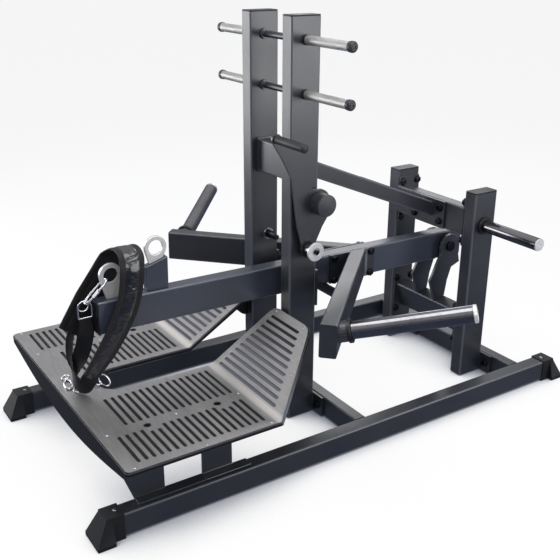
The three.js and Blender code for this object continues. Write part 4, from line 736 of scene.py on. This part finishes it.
# Pop rivets with domed heads hold the tread, and countersunk socket bolts stand in its larger holes
rivet_rings = [(4, -0.2), (4, 0.4), (3.4, 1.2), (2.2, 1.7), (1, 1.8), (0.2, 1.8)]
deck_top_z = 0.2432
deck_bolt_y = 0.2925
wing_tilt = radians(31)
wing_normal = (-sin(wing_tilt), 0, cos(wing_tilt))
bolt_rings = [(10.2, -2.8), (10.2, -1.2), (9.4, -0.8), (5, -0.8), (4.4, -3), (0.4, -3)]
for side, sign in sides:
    headed = [((x, sign * y, deck_top_z), (0, 0, 1)) for x, y in (
        (-0.7865, 0.284), (-0.7855, 0.461), (-0.5845, 0.465), (-0.3835, 0.462), (-0.3785, 0.274),
        (-0.5825, 0.280),
    )]
    # On the wings, a distance up the slope from the fold
    headed += [
        ((fold_x + slope * cos(wing_tilt), sign * y, deck_top_z + slope * sin(wing_tilt)), wing_normal)
        for slope, y in ((0.264, 0.095), (0.264, 0.247), (0.121, 0.362))
    ]
    heads = [
        turned("tread_rivet", rivet_rings, place, heading, zinc_plate, segments=14, smooth=60)
        for place, heading in headed
    ]
    joined(f"deck_rivets_{side}", heads, "frame")
    heads = [
        turned(
            "tread_bolt", bolt_rings, (x, sign * deck_bolt_y, deck_top_z), (0, 0, 1), black_oxide,
            segments=28,
        )
        for x in (-0.6745, -0.4595)
    ]
    joined(f"deck_bolts_{side}", heads, "frame")


# Belt: wide padded band arched over the lever's nose. A glossy vinyl panel runs between two woven nylon
# borders, sewn with two lines each, over foam. The inside is plain nylon. It hangs from the snap link, on black
# webbing.
def cloth_weave(name, colour, sheen_colour, thread_mm, roughness, depth):
    material, add = new_material(name)
    lay = (add("Attribute", attribute_name="cloth_place"), "Vector")
    # Threads over and under, drawn about six times as coarse as real so that they show
    warp, weft = (add("TexWave", {
        "Vector": lay, "Scale": 50 / thread_mm, "Distortion": 0.6, "Detail": 1.0,
    }, bands_direction=axis) for axis in "XY")
    weave = add("Math", {0: (warp, "Fac"), 1: (weft, "Fac")}, operation="MULTIPLY")
    wear = add("TexNoise", {"Vector": lay, "Scale": 25.0, "Detail": 5.0})
    mixed = add("Mix", {"Factor": 0.6, "A": (weave, "Value"), "B": (wear, "Fac")})
    tint = add("ValToRGB", {0: (mixed, "Result")}, [(0.15, colour), (0.7, sheen_colour)])
    gloss = add("MapRange", {
        "Value": (wear, "Fac"), "From Min": 0.3, "From Max": 0.7, "To Min": roughness + 0.08,
        "To Max": roughness - 0.08,
    })
    bump = add("Bump", {"Height": (weave, "Value"), "Strength": 0.5, "Distance": depth})
    cloth = add("BsdfPrincipled", {
        "Base Color": (tint, "Color"), "Roughness": (gloss, "Result"), "Normal": (bump, "Normal"),
        "IOR": 1.4, "Sheen Weight": 0.05, "Sheen Roughness": 0.4,
    })
    add("OutputMaterial", {0: (cloth, 0)})
    return material


nylon_border = cloth_weave("woven_nylon_belt_border", "#0f0e11", "#1d1b20", 1.4, 0.6, 0.0002)
nylon_lining = cloth_weave("plain_nylon_belt_lining", "#060608", "#0f0f12", 1.4, 0.75, 0.0002)
nylon_webbing = cloth_weave("woven_nylon_webbing", "#050506", "#0e0e12", 1.8, 0.42, 0.0003)
stitch_thread = cloth_weave("waxed_polyester_thread", "#25242a", "#3b3940", 0.6, 0.6, 0.0001)

vinyl_panel, add = new_material("glossy_black_vinyl_panel")
lay = (add("Attribute", attribute_name="cloth_place"), "Vector")
# Leather grain of about 2.5 mm, and long soft creases across the belt
grain = add("TexVoronoi", {"Vector": lay, "Scale": 420.0})
stretched = add("Mapping", {"Vector": lay, "Scale": (1.0, 0.35, 1.0)})
creases = add("TexNoise", {
    "Vector": (stretched, "Vector"), "Scale": 55.0, "Detail": 4.0, "Distortion": 0.6,
})
grain_part = add("Math", {0: (grain, "Distance"), 1: 0.12}, operation="MULTIPLY")
relief = add("Math", {0: (grain_part, "Value"), 1: (creases, "Fac")}, operation="ADD")
vinyl_bump = add("Bump", {"Height": (relief, "Value"), "Strength": 0.6, "Distance": 0.004})
vinyl_tint = add("ValToRGB", {0: (creases, "Fac")}, [(0.35, "#08090c"), (0.7, "#161a22")])
vinyl_gloss = add("MapRange", {
    "Value": (creases, "Fac"), "From Min": 0.3, "From Max": 0.7, "To Min": 0.13, "To Max": 0.26,
})
vinyl = add("BsdfPrincipled", {
    "Base Color": (vinyl_tint, "Color"), "Roughness": (vinyl_gloss, "Result"),
    "Normal": (vinyl_bump, "Normal"), "IOR": 1.55, "Coat Weight": 0.6, "Coat Roughness": 0.1,
})
add("OutputMaterial", {0: (vinyl, 0)})

d_ring = Vector((-0.720, 0, 0.486))


# Smooth curve through stations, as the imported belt's: centripetal, read at equal steps of its length
def smooth_path(stations, count):
    points = [Vector(point) for point in stations]
    points = [points[0] * 2 - points[1], *points, points[-1] * 2 - points[-2]]
    fine = []
    for i in range(len(points) - 3):
        p0, p1, p2, p3 = points[i:i + 4]
        d0, d1, d2 = ((b - a).length ** 0.5 for a, b in ((p0, p1), (p1, p2), (p2, p3)))
        start = ((p1 - p0) / d0 - (p2 - p0) / (d0 + d1) + (p2 - p1) / d1) * d1
        end = ((p2 - p1) / d1 - (p3 - p1) / (d1 + d2) + (p3 - p2) / d2) * d1
        for step in range(24):
            t = step / 24
            square = (3 * (p2 - p1) - 2 * start - end) * t * t
            cube = (2 * (p1 - p2) + start + end) * t ** 3
            fine.append(p1 + start * t + square + cube)
    fine.append(points[-2])
    reach = [0.0]
    for a, b in zip(fine, fine[1:]):
        reach.append(reach[-1] + (b - a).length)
    path, k = [], 0
    for step in range(count + 1):
        target = reach[-1] * step / count
        while k < len(fine) - 2 and reach[k + 1] < target:
            k += 1
        share = (target - reach[k]) / (reach[k + 1] - reach[k])
        path.append(fine[k].lerp(fine[k + 1], share))
    return path, reach[-1]


# Directions along, across and out of a band at one step of its path
def band_axes(path, step, outward):
    tangent = (path[min(step + 1, len(path) - 1)] - path[max(step - 1, 0)]).normalized()
    across = tangent.cross(outward).normalized()
    return tangent, across, across.cross(tangent).normalized()


# A band along a path. The section is (across, out) round its rim, and every point keeps its place along and
# across the cloth for the weave.
def cloth_band(name, stations, section, count, outward_at, taper=lambda share: 1.0, shift=lambda share: 0.0):
    path, length = smooth_path(stations, count)
    rim = len(section)
    bpy.ops.object.select_all(action="DESELECT")
    bpy.ops.mesh.primitive_grid_add(x_subdivisions=rim, y_subdivisions=count, size=2)
    piece = bpy.context.object
    piece.name = name
    mesh = piece.data
    row = rim + 1
    lay = mesh.attributes.new("cloth_place", "FLOAT_VECTOR", "POINT")
    for step in range(count + 1):
        share = step / count
        _, across, outward = band_axes(path, step, outward_at(path[step], share))
        for i in range(row):
            wide, out = section[i % rim]
            vertex = mesh.vertices[step * row + i]
            vertex.co = path[step] + across * (wide * taper(share) + shift(share)) + outward * out
            lay.data[step * row + i].vector = (length * step / count, wide, 0.0)
    edit_whole(piece)
    bpy.ops.mesh.remove_doubles(threshold=0.00001)
    bpy.ops.mesh.select_all(action="DESELECT")
    bpy.ops.mesh.select_mode(type="EDGE")
    bpy.ops.mesh.select_non_manifold()
    bpy.ops.mesh.fill_holes(sides=0)
    close_outward()
    return piece, path, length


pad_stations = [
    (-20, -48, -194), (3, -50, -163), (43, -52, -111), (80, -54, -51), (108, -56, 9),
    (122, -58, 69), (126, -55, 119), (130, -38, 149), (132, 0, 159), (128, 38, 149),
    (110, 55, 119), (75, 58, 64), (35, 58, 4), (0, 56, -49), (-27, 53, -89),
]
pad_stations = [d_ring + Vector(point) / 1000 for point in pad_stations]
arch_z = d_ring.z + 0.119


def pad_outward(point, share=0):
    return Vector((0, point.y, max(0.0003, 2 * (point.z - arch_z))))


# Half section: across and half thickness, thinner at the sewn lines beside the panel and at the rims
lane_line = 0.0255
half_section = [
    (-0.0465, 0.0022), (-0.0448, 0.0036), (-0.0405, 0.0044), (-0.036, 0.0046), (-0.031, 0.0042),
    (-lane_line, 0.0030), (-0.0205, 0.0044), (-0.014, 0.0050), (-0.007, 0.0052),
]
half_section += [(0.0, 0.0052)] + [(-wide, out) for wide, out in reversed(half_section)]
pad_section = half_section + [(wide, -out) for wide, out in reversed(half_section)]
pad_count = 150


def between(share, table):
    for (a, low), (b, high) in zip(table, table[1:]):
        if share <= b:
            return low + (high - low) * (share - a) / (b - a)
    return table[-1][1]


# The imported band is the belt's full width. Its legs twist a little, so they look narrower from the near side.
def pad_taper(share):
    return between(share, ((0, 0.5), (0.12, 0.66), (0.3, 0.76), (0.45, 0.8), (0.6, 0.8), (0.85, 1.0), (1, 1.0)))


def pad_shift(share):
    top = 0.004
    return between(share, ((0, 0.0), (0.4, 0.0), (0.5, top), (0.62, top), (0.85, 0.0), (1, 0.0)))


pad, pad_path, pad_length = cloth_band(
    "belt_pad_quilted", pad_stations, pad_section, pad_count, pad_outward, pad_taper, pad_shift,
)
for material in (nylon_lining, nylon_border, vinyl_panel):
    pad.data.materials.append(material)

# Pinned at the sewn lines and the rims, the cloth swells in between
pinned = pad.vertex_groups.new(name="sewn_lines")
lay = pad.data.attributes["cloth_place"].data
for vertex in pad.data.vertices:
    along, wide, _ = lay[vertex.index].vector
    at_seam = abs(abs(wide) - lane_line) < 0.0008 or abs(wide) > 0.046
    at_end = min(along, pad_length - along) < 0.003
    if at_seam or at_end:
        pinned.add([vertex.index], 1.0, "REPLACE")
    else:
        # Slack that differs along the belt starts the wrinkles
        ripple = noise.noise(Vector((along * 60, wide * 18, 3.7)))
        vertex.co += vertex.normal * 0.0007 * ripple
swell_frames = 20
swell_limit = 0.0032
rest_places = [vertex.co.copy() for vertex in pad.data.vertices]
make_active(pad)
swell = pad.modifiers.new("padding_pressure", "CLOTH")
swell.settings.use_pressure = True
swell.settings.uniform_pressure_force = 4.0
swell.settings.mass = 0.25
swell.settings.tension_stiffness = 18
swell.settings.compression_stiffness = 18
swell.settings.bending_stiffness = 0.4
swell.settings.vertex_group_mass = "sewn_lines"
swell.settings.effector_weights.gravity = 0
swell.collision_settings.use_collision = False
swell.point_cache.frame_start = 1
swell.point_cache.frame_end = swell_frames
for step in range(1, swell_frames + 1):
    bpy.context.scene.frame_set(step)
bpy.ops.object.modifier_apply(modifier=swell.name)
for vertex, rest_place in zip(pad.data.vertices, rest_places):
    move = vertex.co - rest_place
    if move.length > swell_limit:
        vertex.co = rest_place + move.normalized() * swell_limit
bpy.context.scene.frame_set(1)

# The lanes take their cloth: panel and borders outside, lining inside
lay = pad.data.attributes["cloth_place"].data
for face in pad.data.polygons:
    wide = sum(abs(lay[i].vector[1]) for i in face.vertices) / len(face.vertices)
    step = min(pad_count, max(0, round(lay[face.vertices[0]].vector[0] / pad_length * pad_count)))
    outside = face.normal.dot(pad_outward(pad_path[step])) > 0 or wide > 0.0455
    face.material_index = 0 if not outside else (2 if wide < lane_line else 1)
smoothing = pad.modifiers.new("soft_surface", "SUBSURF")
smoothing.levels = smoothing.render_levels = 1
apply_modifiers(pad)

# Wrinkles pressed into the panel, a crease over the top of the arch, and the sewn lines pulled in
lay = pad.data.attributes["cloth_place"].data
normals = [vertex.normal.copy() for vertex in pad.data.vertices]
crease_along, crease_depth, crease_reach = pad_length * 0.5, 0.0022, 0.0035
seam_depth, seam_reach = 0.0008, 0.0009
for vertex, normal in zip(pad.data.vertices, normals):
    along, wide, _ = lay[vertex.index].vector
    step = min(pad_count, max(0, round(along / pad_length * pad_count)))
    outside = normal.dot(pad_outward(pad_path[step])) > 0
    sink = 0.0
    for line in (lane_line, 0.0315, 0.0425):
        sink += seam_depth * exp(-(((abs(wide) - line) / seam_reach) ** 2))
    if outside and abs(wide) < lane_line:
        across_fade = 1 - (wide / lane_line) ** 4
        folds = noise.noise(Vector((along * 42 + wide * 14, wide * 26, 1.3)))
        puckers = noise.noise(Vector((along * 110, wide * 50, 8.1)))
        sink += across_fade * (0.0021 * folds + 0.0007 * puckers)
        from_crease = (along - crease_along - wide * 0.25) / crease_reach
        sink += crease_depth * exp(-(from_crease ** 2)) * across_fade
    vertex.co -= normal * sink
bpy.ops.object.shade_smooth()
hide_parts("belt_pad")
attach(pad, "lever")

# Stitches, about 5 mm long, modelled once and set along the borders on the cloth's surface
stitch_step = 0.0066
stitch_mesh = turned_mesh(
    "stitch_model", [(0.2, -2.4), (0.52, -1.7), (0.52, 1.7), (0.2, 2.4)], stitch_thread, segments=6, smooth=60,
)
stitches = []
for line in (-0.0425, -0.0315, 0.0315, 0.0425):
    for k in range(1, int(pad_length / stitch_step)):
        place = k * stitch_step / pad_length * pad_count
        base = int(place)
        here = pad_path[base].lerp(pad_path[min(base + 1, pad_count)], place - base)
        tangent, across, outward = band_axes(pad_path, base, pad_outward(here))
        share = place / pad_count
        line_place = here + across * (line * pad_taper(share) + pad_shift(share))
        found, surface, normal, _ = pad.ray_cast(line_place + outward * 0.03, -outward)
        if found:
            mesh = stitch_mesh.copy()
            mesh.transform(Matrix.Translation(surface + normal * 0.0001) @ turn_to(tangent))
            stitches.append(link_object("belt_stitch", mesh))
joined("belt_border_stitching", stitches, "lever")

# Webbing: a loop that joins the pad's lower ends, and a strap that hangs from the D-ring
webbing_section = [(wide / 1000, out / 1000) for wide, out in (
    (-23.5, 0.6), (-22.5, 1.4), (-18, 1.4), (-9, 1.7), (0, 1.8), (9, 1.7), (18, 1.4), (22.5, 1.4), (23.5, 0.6),
    (23.5, -0.6), (22.5, -1.4), (9, -1.7), (0, -1.8), (-9, -1.7), (-22.5, -1.4), (-23.5, -0.6),
)]


def past_end(end, before, distance):
    return end + (end - before).normalized() * distance


loop_stations = [d_ring + Vector(point) / 1000 for point in (
    (-42, 45, -141), (-48, 25, -181), (-50, 0, -201), (-47, -24, -215), (-36, -42, -217),
)]
far_end, near_end = pad_stations[-1:-3:-1], pad_stations[:2]
loop_stations = [
    past_end(*far_end, -0.012), past_end(*far_end, 0.010), *loop_stations,
    past_end(*near_end, 0.010), past_end(*near_end, -0.012),
]
webbing_loop, _, _ = cloth_band(
    "belt_webbing_loop", loop_stations, webbing_section, 60,
    lambda point, share: Vector((-1, point.y / 0.048, 0)),
)
tail_stations = [d_ring + Vector(point) / 1000 for point in (
    (0, 0, -24), (0, 0, -38), (-2, 0, -66), (-14, 2, -116), (-32, 6, -161), (-46, 4, -196),
)]
webbing_tail, _, _ = cloth_band(
    "belt_webbing_tail", tail_stations, webbing_section, 60,
    lambda point, share: Vector((-share, share - 1, -share)), lambda share: min(1.0, 0.74 + share * 1.2),
)
for piece in (webbing_loop, webbing_tail):
    piece.data.materials.append(nylon_webbing)
    make_active(piece)
    bpy.ops.object.shade_smooth_by_angle(angle=radians(60))
    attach(piece, "lever")
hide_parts("belt_strap")


polished_steel = bright_metal(
    "polished_zinc_plated_wire", "#dedfe2", 0.14, scratch_mm=2.0, line_depth=0.08,
)


# Wire bent along points into a closed loop
def wire_loop(name, points, radius, replaces=None):
    curve = bpy.data.curves.new(name, "CURVE")
    curve.dimensions = "3D"
    curve.bevel_depth = radius
    curve.bevel_resolution = 4
    curve.resolution_u = 8
    spline = curve.splines.new("NURBS")
    spline.points.add(len(points) - 1)
    for point, place in zip(spline.points, points):
        point.co = (*place, 1)
    spline.use_cyclic_u = True
    spline.order_u = 3
    make_active(link_object(name, curve))
    bpy.ops.object.convert(target="MESH")
    piece = bpy.context.object
    edit_whole(piece)
    bpy.ops.mesh.remove_doubles(threshold=0.00001)
    close_outward()
    bpy.ops.object.shade_smooth_by_angle(angle=radians(50))
    piece.data.materials.clear()
    piece.data.materials.append(polished_steel)
    if replaces:
        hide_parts(replaces)
    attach(piece, "lever")


# D-ring: 5 mm wire, flat below where the webbing hangs and round above
ring_points = [
    (-19.5, -25.5), (0, -25.6), (19.5, -25.5), (20.5, -23.5), (20.6, -8), (20.6, 10), (15, 22.5), (0, 27),
    (-15, 22.5), (-20.6, 10), (-20.6, -8), (-20.5, -23.5),
]
ring_points = [d_ring + Vector((x, 0, z)) / 1000 for x, z in ring_points]
wire_loop("belt_d_ring_wire", ring_points, 0.0026, "belt_ring")
# Small ring beside it that gathers the strap's other side
twelfths = [step * pi / 6 for step in range(12)]
small_ring = [
    d_ring + Vector((-0.007 + 0.016 * cos(angle), -0.0075, 0.014 + 0.015 * sin(angle))) for angle in twelfths
]
wire_loop("belt_small_ring_wire", small_ring, 0.0019)

# Snap link from the front eye: 7 mm wire bent to a long link, closed by a knurled sleeve nut on its near side
link_low = Vector((-0.7145, 0, 0.5065))
link_run = Vector((-0.6525, 0, 0.5625)) - link_low
link_along, link_length = link_run.normalized(), link_run.length
half_link = 0.0125
half_run = (
    (-0.004, -0.006), (0.010, -half_link), (link_length / 2, -half_link), (link_length - 0.010, -half_link),
    (link_length + 0.003, -0.006),
)
link_points = [
    link_low + link_along * along + Vector((0, wide, 0))
    for along, wide in (*half_run, *((along, -wide) for along, wide in reversed(half_run)))
]
wire_loop("belt_snap_link_wire", link_points, 0.0034, "snap_hook")
nut_rings = [(4, 0), (5.6, 1.2)]
for groove in range(5):
    nut_rings += [(5.6, 2.8 + groove * 4.2), (5, 3.6 + groove * 4.2), (5.6, 4.4 + groove * 4.2)]
nut_rings += [(5.6, 26.2), (4, 27.4)]
turned(
    "belt_snap_link_nut", nut_rings, link_low + link_along * 0.024 + Vector((0, -half_link, 0)), link_along,
    polished_steel, "lever", "chrome", segments=16, smooth=40,
)


# Loose end of the belt's webbing: small rings and two snap hooks, bent from zinc-plated wire like the snap link,
# lie on the deck's front.
deck_top = 0.2433


def lying_loop(name, centre, half_long, half_wide, turn, radius, lift=0.0):
    points = []
    for angle in twelfths:
        x = half_long * cos(angle)
        y = half_wide * sin(angle)
        points.append(Vector((
            centre[0] + x * cos(turn) - y * sin(turn),
            centre[1] + x * sin(turn) + y * cos(turn),
            deck_top + radius + lift + 0.5 * lift * cos(angle),
        )))
    wire_loop(name, points, radius)


lying_loop("loose_end_ring", (-0.764, -0.010), 0.014, 0.014, 0.0, 0.0022)
lying_loop("loose_hook_body", (-0.778, 0.036), 0.030, 0.011, 1.35, 0.0036)
lying_loop("loose_hook_eye", (-0.772, 0.076), 0.011, 0.010, 0.3, 0.0028, lift=0.004)
lying_loop("loose_link_one", (-0.694, 0.030), 0.019, 0.009, 1.2, 0.0030)
lying_loop("loose_link_two", (-0.704, -0.004), 0.014, 0.010, 1.7, 0.0026, lift=0.004)
lying_loop("loose_rod_loop", (-0.680, -0.002), 0.036, 0.015, 1.45, 0.0024, lift=0.003)
